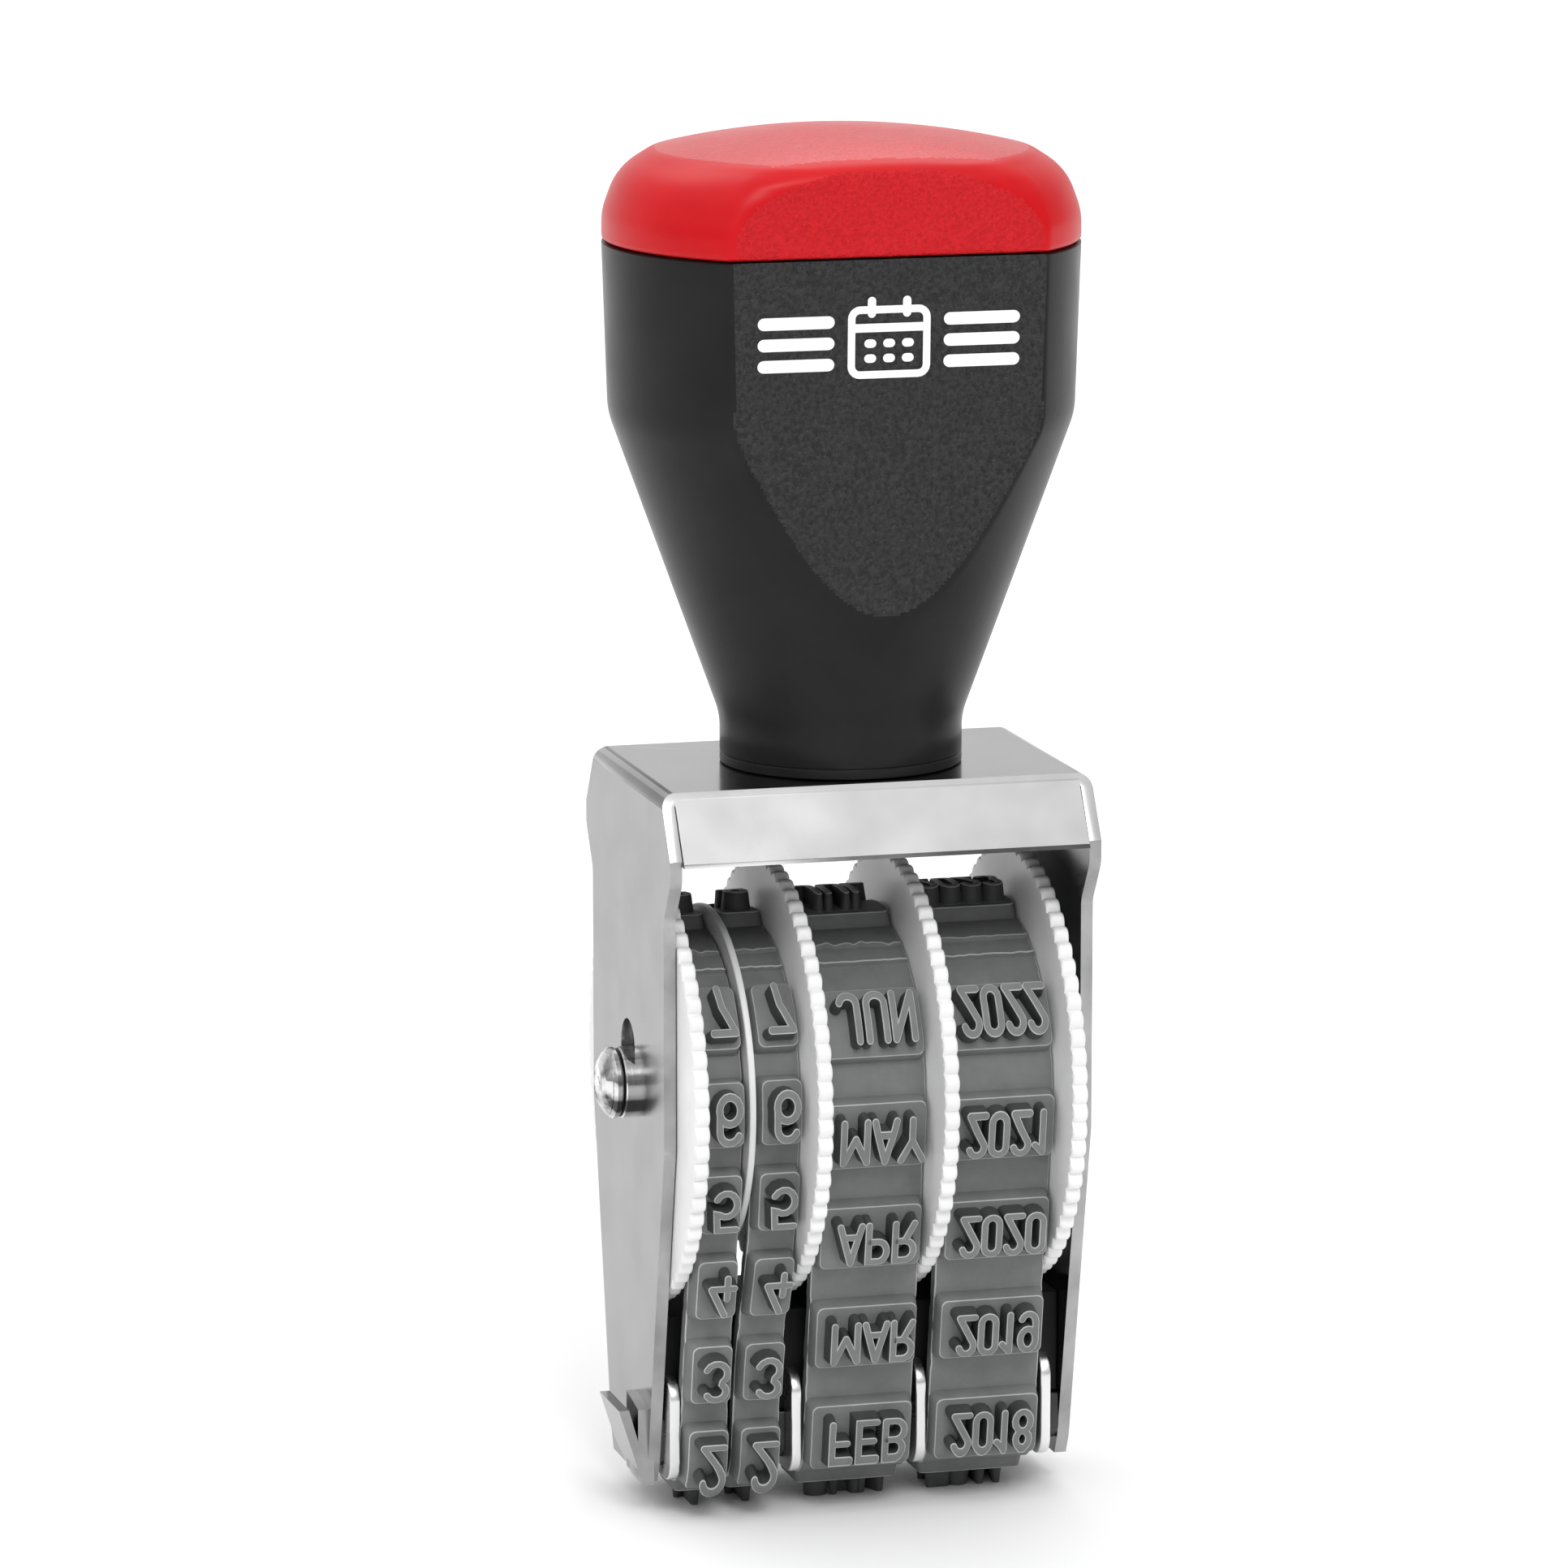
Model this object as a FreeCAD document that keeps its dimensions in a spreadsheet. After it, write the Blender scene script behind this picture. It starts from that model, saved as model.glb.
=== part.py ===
"""Rotary date stamp: a folded metal frame with a two-part handle, four setting wheels on one
axle, and four endless rubber bands that run over the wheel hubs and round an anvil bar.

Millimetres. +Z is up and -Y is the front. The origin is on the grip's axis, in the plane z = 0
of the printing face. +X points along the axle, towards the year wheel.
"""
import FreeCAD, Part
import math
import os

import Sketcher
from FreeCAD import Placement, Rotation, Vector

# ---------------------------------------------------------------- driving dimensions
DIMENSIONS = {
    # folded frame
    "frame_width": 36.0,
    "sheet": 1.0,
    "frame_bottom": 2.7,
    "plate_top": 61.1,
    "top_half": 10.9,
    "flare_half": 14.0,
    "flare_low": 54.2,
    "flange_low": 55.55,
    "flange_half": 14.5,
    "waist_half": 11.8,
    "waist_high": 50.8,
    "waist_low": 31.8,
    "foot_half": 6.2,
    "foot_high": 4.4,
    "corner_round": 1.6,
    "bend_round": 1.2,
    "flange_gap": 0.08,
    "slot_half": 2.28,
    "slot_rise": 3.0,
    # hook at the foot of the left side plate
    "hook_sheet": 0.85,
    "hook_rise": 6.4,
    "hook_front": 6.3,
    "hook_inner_length": 3.9,
    "hook_outer_length": 6.6,
    "hook_lean": 0.75,
    "hook_fold": 0.7,
    # axle
    "axle_height": 35.15,
    "axle_radius": 2.93,
    "axle_half": 20.6,
    "axle_chamfer": 0.9,
    "neck_radius": 2.15,
    "neck_start": 16.93,
    "neck_end": 18.15,
    # setting wheels
    "wheel_radius": 18.05,
    "tooth_depth": 0.5,
    "tooth_count": 72,
    "tooth_flank_share": 0.1,
    "tooth_top_share": 0.48,
    "hub_radius": 11.2,
    "hub_inner": 9.6,
    "boss_radius": 5.2,
    "bore_radius": 3.0,
    "hub_web": 1.3,
    "tens_left": -16.9,
    "tens_right": -15.75,
    "tens_hub_end": -11.6,
    "units_left": -6.7,
    "units_right": -5.5,
    "units_hub_end": -10.85,
    "month_left": 3.85,
    "month_right": 5.05,
    "month_hub_end": -5.4,
    "year_left": 14.6,
    "year_right": 15.8,
    "year_hub_end": 5.15,
    # loose divider disc and friction washer
    "disc_left": -11.5,
    "disc_right": -10.95,
    "disc_radius": 14.3,
    "washer_left": 15.95,
    "washer_right": 16.9,
    "washer_radius": 6.5,
    # bands
    "wheel_play": 0.15,
    "disc_play": 0.05,
    "band_radius": 12.65,
    "band_sheet": 1.2,
    "band_corner": 3.1,
    "band_flat_half": 4.9,
    "band_low": 2.65,
    "block_rise": 1.15,
    "block_height": 5.0,
    "block_margin": 0.3,
    "type_rise": 1.5,
    "type_height": 3.8,
    "type_width": 1.3,
    "type_gap": 0.55,
    "day_pitch": 7.46,
    "word_pitch": 8.74,
    "bottom_symbol": 2.1,
    "day_front_symbols": 6,
    "word_front_symbols": 5,
    "day_all_symbols": 14,
    "word_all_symbols": 12,
    "ridge_rise": 0.35,
    "ridge_width": 0.4,
    "ridge_low": 51.7,
    "ridge_high": 53.8,
    # anvil bar, the filler block on it and divider fins
    "bar_half": 6.62,
    "bar_low": 4.0,
    "bar_high": 8.2,
    "bar_round": 1.75,
    "filler_half": 6.0,
    "filler_high": 16.7,
    "fin_half": 8.75,
    "fin_low": 3.3,
    "fin_high": 11.9,
    "fin_sheet": 0.85,
    "fin_round": 1.8,
    "fin_1_middle": -16.35,
    "fin_2_middle": -6.1,
    "fin_3_middle": 4.5,
    "fin_4_middle": 15.2,
    # handle
    "neck_half": 9.9,
    "neck_top": 65.0,
    "shoulder_half": 18.95,
    "shoulder_high": 90.0,
    "shoulder_round": 6.0,
    "seam_half": 19.4,
    "seam": 103.85,
    "seam_gap": 0.15,
    "facet_top": 14.35,
    "facet_low": 12.9,
    "cavity_floor": 82.8,
    "cavity_low_half": 8.0,
    "cavity_half": 12.2,
    "pilot_radius": 1.6,
    "pilot_depth": 18.0,
    "foot_groove": 0.9,
    # cap
    "cap_side_high": 106.2,
    "cap_side_half": 19.35,
    "cap_corner_half": 18.2,
    "cap_corner_high": 109.5,
    "cap_rim_half": 15.55,
    "cap_rim_high": 111.2,
    "cap_dome_half": 8.0,
    "cap_dome_high": 112.6,
    "cap_high": 113.1,
    "cap_side_round": 4.0,
    "cap_corner_round": 2.6,
    "cap_rim_round": 6.0,
    "cap_dome_round": 40.0,
    "cap_front_round": 3.2,
    "cap_front_high": 109.0,
    "plug_half": 12.0,
    "plug_depth": 5.0,
    "plug_wall": 2.0,
    # handle screw
    "screw_radius": 1.55,
    "screw_length": 15.0,
    "screw_hole": 2.1,
    "head_radius": 3.6,
    "head_height": 1.9,
    "recess_width": 1.0,
    "recess_length": 4.4,
    "recess_depth": 1.0,
    "screw_washer_radius": 5.0,
    "screw_washer_sheet": 0.8,
}

doc = FreeCAD.newDocument("date_stamp")
dims = doc.addObject("Spreadsheet::Sheet", "dims")
for row, (alias, value) in enumerate(DIMENSIONS.items(), start=1):
    dims.set("A%d" % row, alias)
    dims.set("B%d" % row, str(value))
    dims.setAlias("B%d" % row, alias)
doc.recompute()

nodes = []

TO_XZ = Rotation(Vector(1, 0, 0), 90)
TO_YZ = Rotation(Vector(1, 1, 1), 120)
TO_X_AXIS = Rotation(Vector(0, 1, 0), 90)


def size(alias):
    """The present value of one cell."""
    return getattr(dims, alias)


def linked(text):
    """An expression on the sheet: every word of it that is an alias points at its cell."""
    words = text.replace("(", " ( ").replace(")", " ) ").split()
    return " ".join("dims." + word if word in DIMENSIONS else word for word in words)


def bind(feature, prop, text):
    feature.setExpression(prop, linked(text))


# ---------------------------------------------------------------- building blocks
def outline(name, rotation, corners):
    """A closed sketch of straight lines; each corner is a pair of expressions on the sheet."""
    sketch = doc.addObject("Sketcher::SketchObject", name)
    sketch.Placement = Placement(Vector(), rotation)
    count = len(corners)
    spots = [Vector(math.cos(2 * math.pi * i / count), math.sin(2 * math.pi * i / count), 0)
             for i in range(count)]
    for i in range(count):
        sketch.addGeometry(Part.LineSegment(spots[i], spots[(i + 1) % count]), False)
    for i, (across, up) in enumerate(corners):
        for kind, text in (("DistanceX", across), ("DistanceY", up)):
            place = sketch.addConstraint(Sketcher.Constraint(kind, -1, 1, i, 1, 1.0))
            sketch.setExpression("Constraints[%d]" % place, linked(text))
    for i in range(count):
        sketch.addConstraint(Sketcher.Constraint("Coincident", i, 2, (i + 1) % count, 1))
    return sketch


def extrusion(name, sketch, length, start=None):
    """Extrude along the sketch normal: symmetric about its plane, or from start along X."""
    solid = doc.addObject("Part::Extrusion", name)
    solid.Base = sketch
    solid.DirMode = "Normal"
    solid.Solid = True
    bind(solid, "LengthFwd", length)
    if start is None:
        solid.Symmetric = True
    else:
        bind(sketch, "Placement.Base.x", start)
    return solid


def turned_about_axle(name, corners):
    """Revolve a profile of (x, radius) corners about the axle line."""
    sketch = outline(name + "_profile", TO_XZ, corners)
    bind(sketch, "Placement.Base.z", "axle_height")
    solid = doc.addObject("Part::Revolution", name)
    solid.Source = sketch
    solid.Axis = Vector(1, 0, 0)
    solid.Angle = 360
    solid.Solid = True
    bind(solid, "Base.z", "axle_height")
    return solid


def turned_about_z(name, corners):
    """Revolve a profile of (radius, z) corners about the vertical axis."""
    solid = doc.addObject("Part::Revolution", name)
    solid.Source = outline(name + "_profile", TO_XZ, corners)
    solid.Axis = Vector(0, 0, 1)
    solid.Angle = 360
    solid.Solid = True
    return solid


def box(name, low, high):
    """A box between two corners given as expressions."""
    solid = doc.addObject("Part::Box", name)
    for side, axis, start, end in zip(("Length", "Width", "Height"), "xyz", low, high):
        bind(solid, side, "( %s ) - ( %s )" % (end, start))
        bind(solid, "Placement.Base." + axis, start)
    return solid


def rod(name, radius, start, length, y="0", z="0"):
    """A cylinder along X."""
    solid = doc.addObject("Part::Cylinder", name)
    solid.Placement = Placement(Vector(), TO_X_AXIS)
    bind(solid, "Radius", radius)
    bind(solid, "Height", length)
    for axis, text in zip("xyz", (start, y, z)):
        bind(solid, "Placement.Base." + axis, text)
    return solid


def post(name, radius, low, height):
    """A cylinder along Z on the handle axis."""
    solid = doc.addObject("Part::Cylinder", name)
    bind(solid, "Radius", radius)
    bind(solid, "Height", height)
    bind(solid, "Placement.Base.z", low)
    return solid


def fuse(name, *pieces):
    solid = doc.addObject("Part::MultiFuse", name)
    solid.Shapes = list(pieces)
    solid.Refine = True
    return solid


def cut(name, base, tool):
    solid = doc.addObject("Part::Cut", name)
    solid.Base = base
    solid.Tool = tool
    return solid


def common(name, first, second):
    solid = doc.addObject("Part::MultiCommon", name)
    solid.Shapes = [first, second]
    return solid


def rounded(name, base, alias, wanted):
    """Fillet the straight or circular edges that the wanted() test picks."""
    doc.recompute()
    solid = doc.addObject("Part::Fillet", name)
    solid.Base = base
    picked = [i for i, edge in enumerate(base.Shape.Edges, start=1) if wanted(edge)]
    solid.Edges = [(i, size(alias), size(alias)) for i in picked]
    return solid


def keep(solid, label):
    """Declare a finished sub-part: its label is its node's name."""
    solid.Label = label
    nodes.append(solid)
    return solid


def runs_along(edge, axis):
    """True for a straight edge parallel to one axis."""
    if not isinstance(edge.Curve, Part.Line):
        return False
    return abs(abs(edge.Curve.Direction.dot(axis)) - 1) < 1e-6


def near(value, alias):
    return abs(abs(value) - size(alias)) < 1e-3


# ---------------------------------------------------------------- folded frame
def hook():
    """The folded V at the foot of the left side plate: one leaf lies on the plate."""
    plate = "- frame_width / 2"
    top = "frame_bottom + hook_rise"
    low = "frame_bottom + hook_fold"
    inner = outline("hook_inner_outline", TO_YZ, [
        ("- hook_front", low),
        ("- hook_front", top),
        ("hook_inner_length - hook_front", top + " + hook_fold"),
        ("hook_inner_length - hook_front", low)])
    inner_leaf = extrusion("hook_inner_leaf", inner, "hook_sheet + sheet / 2",
                           plate + " - hook_sheet")
    spine = outline("hook_outer_profile", TO_XZ, [
        (plate + " - hook_sheet / 2", "frame_bottom"),
        (plate + " - hook_sheet - hook_lean - hook_sheet", top),
        (plate + " - hook_sheet - hook_lean", top),
        (plate + " - hook_sheet / 2 + hook_lean / 4", low + " + hook_sheet"),
        (plate + " + sheet / 2", low + " + hook_sheet"),
        (plate + " + sheet / 2", "frame_bottom")])
    outer_solid = extrusion("hook_outer_solid", spine, "2 * hook_front")
    reach = outline("hook_outer_outline", TO_YZ, [
        ("- hook_front", "frame_bottom"),
        ("- hook_front", top),
        ("hook_outer_length - hook_front", top + " + hook_fold"),
        ("hook_outer_length - hook_front", "frame_bottom + hook_rise / 2 - hook_fold"),
        ("hook_fold - hook_front / 2", "frame_bottom")])
    reach_solid = extrusion("hook_outer_reach", reach, "frame_width / 2",
                            "- frame_width / 2 - 4 * hook_sheet")
    outer_leaf = common("hook_outer_leaf", outer_solid, reach_solid)
    return fuse("hook", inner_leaf, outer_leaf)


def frame():
    """Top plate, two tapered side plates and two sloping flanges, folded from one sheet."""
    half = [
        ("foot_half - corner_round / 2", "frame_bottom"),
        ("foot_half", "foot_high"),
        ("waist_half", "waist_low"),
        ("waist_half", "waist_high"),
        ("flare_half", "flare_low"),
        ("flare_half", "flange_low + sheet / 2"),
        ("top_half", "plate_top")]
    other_half = [("- " + across.replace(" - ", " + "), up) for across, up in reversed(half)]
    block = extrusion("frame_block", outline("side_outline", TO_YZ, half + other_half),
                      "frame_width")
    soft_turns = ("foot_high", "waist_low", "waist_high", "flare_low")

    def is_soft(edge):
        """The frame edges along X at the turns of the side outline."""
        return runs_along(edge, Vector(1, 0, 0)) and any(
            near(edge.CenterOfMass.z, alias) for alias in soft_turns)

    soft = rounded("frame_soft_block", block, "corner_round", is_soft)
    inside = box("frame_inside",
                 ("sheet - frame_width / 2", "- flange_half - 1", "- 1"),
                 ("frame_width / 2 - sheet", "flange_half + 1", "plate_top - sheet"))
    bent = cut("frame_bent", soft, inside)

    def is_side_bend(edge):
        """The long outer edges between the top plate and the side plates."""
        return (runs_along(edge, Vector(0, 1, 0))
                and near(edge.CenterOfMass.z, "plate_top"))

    shell = rounded("frame_shell", bent, "bend_round", is_side_bend)
    strip_corners = [
        ("flange_half", "flange_low"),
        ("top_half", "plate_top"),
        ("- top_half", "plate_top"),
        ("- flange_half", "flange_low"),
        ("sheet - flange_half", "flange_low"),
        ("sheet - top_half", "plate_top - sheet"),
        ("top_half - sheet", "plate_top - sheet"),
        ("flange_half - sheet", "flange_low")]
    strip = extrusion("flange_strip", outline("flange_outline", TO_YZ, strip_corners),
                      "frame_width - 2 * sheet - 2 * flange_gap")

    def is_flange_bend(edge):
        """The outer edges along X between the top plate and the flanges."""
        return (runs_along(edge, Vector(1, 0, 0))
                and near(edge.CenterOfMass.z, "plate_top"))

    flanges = rounded("flanges", strip, "bend_round", is_flange_bend)
    folded = fuse("frame_folded", shell, flanges, hook())
    slot = fuse("axle_slot",
                rod("slot_low", "slot_half", "- frame_width", "2 * frame_width",
                    z="axle_height"),
                rod("slot_high", "slot_half", "- frame_width", "2 * frame_width",
                    z="axle_height + slot_rise"),
                box("slot_middle", ("- frame_width", "- slot_half", "axle_height"),
                    ("frame_width", "slot_half", "axle_height + slot_rise")))
    slotted = cut("frame_slotted", folded, slot)
    screw_way = post("screw_way", "screw_hole", "plate_top - 2 * sheet", "4 * sheet")
    keep(cut("frame_sheet", slotted, screw_way), "frame")


# ---------------------------------------------------------------- handle
def facet_prism(name, low, high):
    """The space between the front and rear facets, which lean in a little downwards."""
    return extrusion(name, outline(name + "_outline", TO_YZ, [
        ("facet_low", low), ("facet_top", high), ("- facet_top", high), ("- facet_low", low)]),
        "3 * seam_half")


def handle_body():
    """Black grip: a cone with a round shoulder, cut by two facets and hollow from the top."""
    turned = turned_about_z("grip_turned", [
        ("0", "plate_top"),
        ("neck_half - foot_groove / 3", "plate_top"),
        ("neck_half", "plate_top + foot_groove"),
        ("neck_half", "neck_top"),
        ("shoulder_half", "shoulder_high"),
        ("seam_half", "seam"),
        ("0", "seam")])

    def is_shoulder(edge):
        """The two rings where the cone meets the neck and the upper wall."""
        return (isinstance(edge.Curve, Part.Circle)
                and (near(edge.CenterOfMass.z, "neck_top")
                     or near(edge.CenterOfMass.z, "shoulder_high")))

    soft = rounded("grip_soft", turned, "shoulder_round", is_shoulder)
    grip = common("grip_faceted", soft, facet_prism("grip_facets", "plate_top", "seam"))
    cavity = turned_about_z("grip_cavity", [
        ("0", "cavity_floor"),
        ("cavity_low_half", "cavity_floor"),
        ("cavity_half", "shoulder_high"),
        ("cavity_half", "seam + 1"),
        ("0", "seam + 1")])
    pilot = post("grip_pilot", "pilot_radius", "plate_top - 1", "pilot_depth")
    keep(cut("grip", grip, fuse("grip_hollows", cavity, pilot)), "handle_body")


def handle_cap():
    """Red cap: a low dome with a round rim, flattened front and back, and a plug below."""
    base = "seam + seam_gap"
    dome = turned_about_z("cap_turned", [
        ("0", base),
        ("seam_half", base),
        ("cap_side_half", "cap_side_high"),
        ("cap_corner_half", "cap_corner_high"),
        ("cap_rim_half", "cap_rim_high"),
        ("cap_dome_half", "cap_dome_high"),
        ("0", "cap_high")])
    doc.recompute()
    soft = doc.addObject("Part::Fillet", "cap_soft")
    soft.Base = dome
    soft.Edges = [(i, size("cap_%s_round" % turn), size("cap_%s_round" % turn))
                  for i, edge in enumerate(dome.Shape.Edges, start=1)
                  for turn in ("side", "corner", "rim", "dome")
                  if isinstance(edge.Curve, Part.Circle)
                  and near(edge.CenterOfMass.z, "cap_%s_high" % turn)]
    middle = "facet_top - cap_front_round"
    lower = box("cap_lower", ("- 2 * seam_half", "- facet_top", base),
                ("2 * seam_half", "facet_top", "cap_front_high"))
    upper = box("cap_upper", ("- 2 * seam_half", "cap_front_round - facet_top", base),
                ("2 * seam_half", middle, "cap_high + 1"))
    rolls = [rod("cap_roll_%s" % side, "cap_front_round", "- 2 * seam_half", "4 * seam_half",
                 y=place, z="cap_front_high")
             for side, place in (("front", "cap_front_round - facet_top"), ("rear", middle))]
    shell = common("cap_shell", soft, fuse("cap_pillow", lower, upper, *rolls))
    plug = turned_about_z("cap_plug", [
        ("plug_half - plug_wall", "seam - plug_depth"),
        ("plug_half", "seam - plug_depth"),
        ("plug_half", base + " + 1"),
        ("plug_half - plug_wall", base + " + 1")])
    keep(fuse("cap", shell, plug), "handle_cap")


def handle_screw():
    """Pan-head screw that pulls the grip onto the top plate from below, and its washer."""
    head_top = "plate_top - sheet - screw_washer_sheet"
    shank = post("screw_shank", "screw_radius", head_top, "screw_length")
    head = post("screw_head", "head_radius", head_top + " - head_height", "head_height")
    solid = fuse("screw_blank", shank, head)
    slots = []
    for name, wide, deep in (("recess_x", "recess_length", "recess_width"),
                             ("recess_y", "recess_width", "recess_length")):
        slots.append(box(name,
                         ("- %s / 2" % wide, "- %s / 2" % deep, head_top + " - head_height - 1"),
                         ("%s / 2" % wide, "%s / 2" % deep,
                          head_top + " - head_height + recess_depth")))
    keep(cut("screw", solid, fuse("cross_recess", *slots)), "handle_screw")
    ring = cut("screw_ring",
               post("screw_ring_disc", "screw_washer_radius", head_top, "screw_washer_sheet"),
               post("screw_ring_hole", "screw_hole", head_top + " - 1",
                    "screw_washer_sheet + 2"))
    keep(ring, "screw_washer")


# ---------------------------------------------------------------- axle and wheels
def axle():
    """Steel axle with chamfered ends and a neck that sits in each side plate's slot."""
    right = [
        ("neck_start", "axle_radius"),
        ("neck_start", "neck_radius"),
        ("neck_end", "neck_radius"),
        ("neck_end", "axle_radius"),
        ("axle_half - axle_chamfer", "axle_radius"),
        ("axle_half", "axle_radius - axle_chamfer"),
        ("axle_half", "0")]
    left = [("- " + across.replace(" - ", " + "), up) for across, up in reversed(right)]
    keep(turned_about_axle("axle_turned", right + left), "axle")


def toothed_rim(name, left, right):
    """The wheel's finger rim: a disc with low square teeth all round."""
    tip = size("wheel_radius")
    root = tip - size("tooth_depth")
    count = int(size("tooth_count"))
    step = 2 * math.pi / count
    flank = size("tooth_flank_share")
    top = size("tooth_top_share")
    shares = ((0.0, root), (flank, tip), (flank + top, tip), (2 * flank + top, root))
    ring = [Vector(0, radius * math.cos((i + share) * step), radius * math.sin((i + share) * step))
            for i in range(count) for share, radius in shares]
    face = Part.Face(Part.makePolygon(ring + ring[:1]))
    solid = face.extrude(Vector(size(right) - size(left), 0, 0))
    rim = doc.addObject("Part::Feature", name + "_rim")
    rim.Shape = solid
    rim.Placement = Placement(Vector(size(left), 0, size("axle_height")), Rotation())
    return rim


def setting_wheel(label, left, right, hub_end):
    """A toothed rim with a drum on one side: the drum carries its band."""
    hub_on_right = size(hub_end) > size(right)
    hub_start = right if hub_on_right else left
    web = "+ hub_web" if hub_on_right else "- hub_web"
    drum = turned_about_axle(label + "_drum", [
        (hub_start, "bore_radius"),
        (hub_end, "bore_radius"),
        (hub_end, "boss_radius"),
        (hub_start + " " + web, "boss_radius"),
        (hub_start + " " + web, "hub_inner"),
        (hub_end, "hub_inner"),
        (hub_end, "hub_radius"),
        (hub_start, "hub_radius")])
    bore = rod(label + "_bore", "bore_radius", "- frame_width", "2 * frame_width",
               z="axle_height")
    rim = cut(label + "_bored_rim", toothed_rim(label, left, right), bore)
    keep(fuse(label + "_wheel", rim, drum), label)


def axle_ring(label, left, right, radius):
    """A plain ring on the axle."""
    keep(turned_about_axle(label + "_ring", [
        (left, "bore_radius"), (right, "bore_radius"), (right, radius), (left, radius)]), label)


# ---------------------------------------------------------------- bands
def loop_lengths():
    """Flat half, corner arc, straight side and hub quarter of the band's outer surface."""
    corner_centre = size("band_low") + size("band_corner")
    rise = size("axle_height") - corner_centre
    across = size("band_flat_half")
    span = math.hypot(across, rise)
    growth = size("band_radius") - size("band_corner")
    lean = math.asin(growth / span) - math.atan2(across, rise)
    side = math.sqrt(span ** 2 - growth ** 2)
    corner = size("band_corner") * (math.pi / 2 - lean)
    hub = size("band_radius") * (math.pi / 2 + lean)
    return lean, across, corner, side, hub


def loop_spot(travel):
    """Point (y, z) and outward normal of the outer surface, travel mm towards the front."""
    lean, flat, corner, side, hub = loop_lengths()
    whole = 2 * (flat + corner + side + hub)
    travel = travel % whole
    mirror = travel > whole / 2
    if mirror:
        travel = whole - travel
    corner_high = size("band_low") + size("band_corner")
    if travel <= flat:
        spot, normal = (-travel, size("band_low")), (0.0, -1.0)
    elif travel <= flat + corner:
        turn = (travel - flat) / size("band_corner")
        normal = (-math.sin(turn), -math.cos(turn))
        spot = (-flat + size("band_corner") * normal[0],
                corner_high + size("band_corner") * normal[1])
    elif travel <= flat + corner + side:
        normal = (-math.cos(lean), -math.sin(lean))
        run = travel - flat - corner
        spot = (-flat + size("band_corner") * normal[0] - run * math.sin(lean),
                corner_high + size("band_corner") * normal[1] + run * math.cos(lean))
    else:
        turn = (travel - flat - corner - side) / size("band_radius") - lean
        normal = (-math.cos(turn), math.sin(turn))
        spot = (size("band_radius") * normal[0],
                size("axle_height") + size("band_radius") * normal[1])
    if mirror:
        spot, normal = (-spot[0], spot[1]), (-normal[0], normal[1])
    return spot, normal


def loop_wire(inset):
    """Closed wire of the band's surface, moved inwards by inset: tangent lines and arcs."""
    lean, flat, corner, side, hub = loop_lengths()
    marks = [0, flat, flat + corner / 2, flat + corner, flat + corner + side]
    top = flat + corner + side + hub

    def moved(travel):
        spot, normal = loop_spot(travel)
        return Vector(0, spot[0] - inset * normal[0], spot[1] - inset * normal[1])

    front = [moved(mark) for mark in marks]
    rear = [moved(2 * top - mark) for mark in marks[1:]]
    edges = [
        Part.LineSegment(rear[0], front[1]),
        Part.Arc(front[1], front[2], front[3]),
        Part.LineSegment(front[3], front[4]),
        Part.Arc(front[4], moved(top), rear[3]),
        Part.LineSegment(rear[3], rear[2]),
        Part.Arc(rear[2], rear[1], rear[0])]
    return Part.Wire([edge.toShape() for edge in edges])


def raised(travel, left, width, height, foot, rise):
    """A box on the band: it stands from foot below to rise above the outer surface."""
    spot, normal = loop_spot(travel)
    block = Part.makeBox(width, height, foot + rise, Vector(0, -height / 2, 0))
    angle = math.degrees(math.atan2(-normal[0], normal[1]))
    block.Placement = Placement(Vector(left, spot[0] - foot * normal[0],
                                       spot[1] - foot * normal[1]),
                                Rotation(Vector(1, 0, 0), angle))
    return block


def symbol_places(kind):
    """Where the symbols sit: from the bottom one up the front, and from the top one down the
    rear. The place behind the bottom one stays empty."""
    front = int(size(kind + "_front_symbols"))
    rear = int(size(kind + "_all_symbols")) - front - 1
    places = list(range(front + 1)) + list(range(-rear - 1, -1))
    return [size("bottom_symbol") + place * size(kind + "_pitch") for place in places]


def band(label, left, right, characters, kind):
    """An endless band with a block for each symbol and a plain bar for each character."""
    width = right - left
    face = Part.Face(loop_wire(0.0)).cut(Part.Face(loop_wire(size("band_sheet"))))
    loop = face.extrude(Vector(width, 0, 0))
    loop.translate(Vector(left, 0, 0))
    margin = size("block_margin")
    type_step = size("type_width") + size("type_gap")
    first_type = (left + right - characters * type_step + size("type_gap")) / 2
    pieces = []
    for travel in symbol_places(kind):
        pieces.append(raised(travel, left + margin, width - 2 * margin, size("block_height"),
                             size("band_sheet") / 2, size("block_rise")))
        for place in range(characters):
            pieces.append(raised(travel, first_type + place * type_step, size("type_width"),
                                 size("type_height"), size("band_sheet") / 4,
                                 size("block_rise") + size("type_rise")))
    for travel in (size("ridge_low"), size("ridge_high")):
        pieces.append(raised(travel, left + margin, width - 2 * margin, size("ridge_width"),
                             size("band_sheet") / 4, size("ridge_rise")))
    solid = loop.fuse(pieces).removeSplitter()
    rubber = doc.addObject("Part::Feature", label + "_rubber")
    rubber.Shape = solid.Solids[0]
    rubber.Placement = Placement()
    keep(rubber, label)


# ---------------------------------------------------------------- anvil and fins
def bar_blank(name, start, length):
    """The anvil bar's section, round at its two lower edges, over a stretch of X."""
    plain = box(name + "_box", (start, "- bar_half", "bar_low"),
                ("( %s ) + ( %s )" % (start, length), "bar_half", "bar_high"))
    return rounded(name, plain, "bar_round",
                   lambda edge: runs_along(edge, Vector(1, 0, 0))
                   and near(edge.CenterOfMass.z, "bar_low"))


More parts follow.
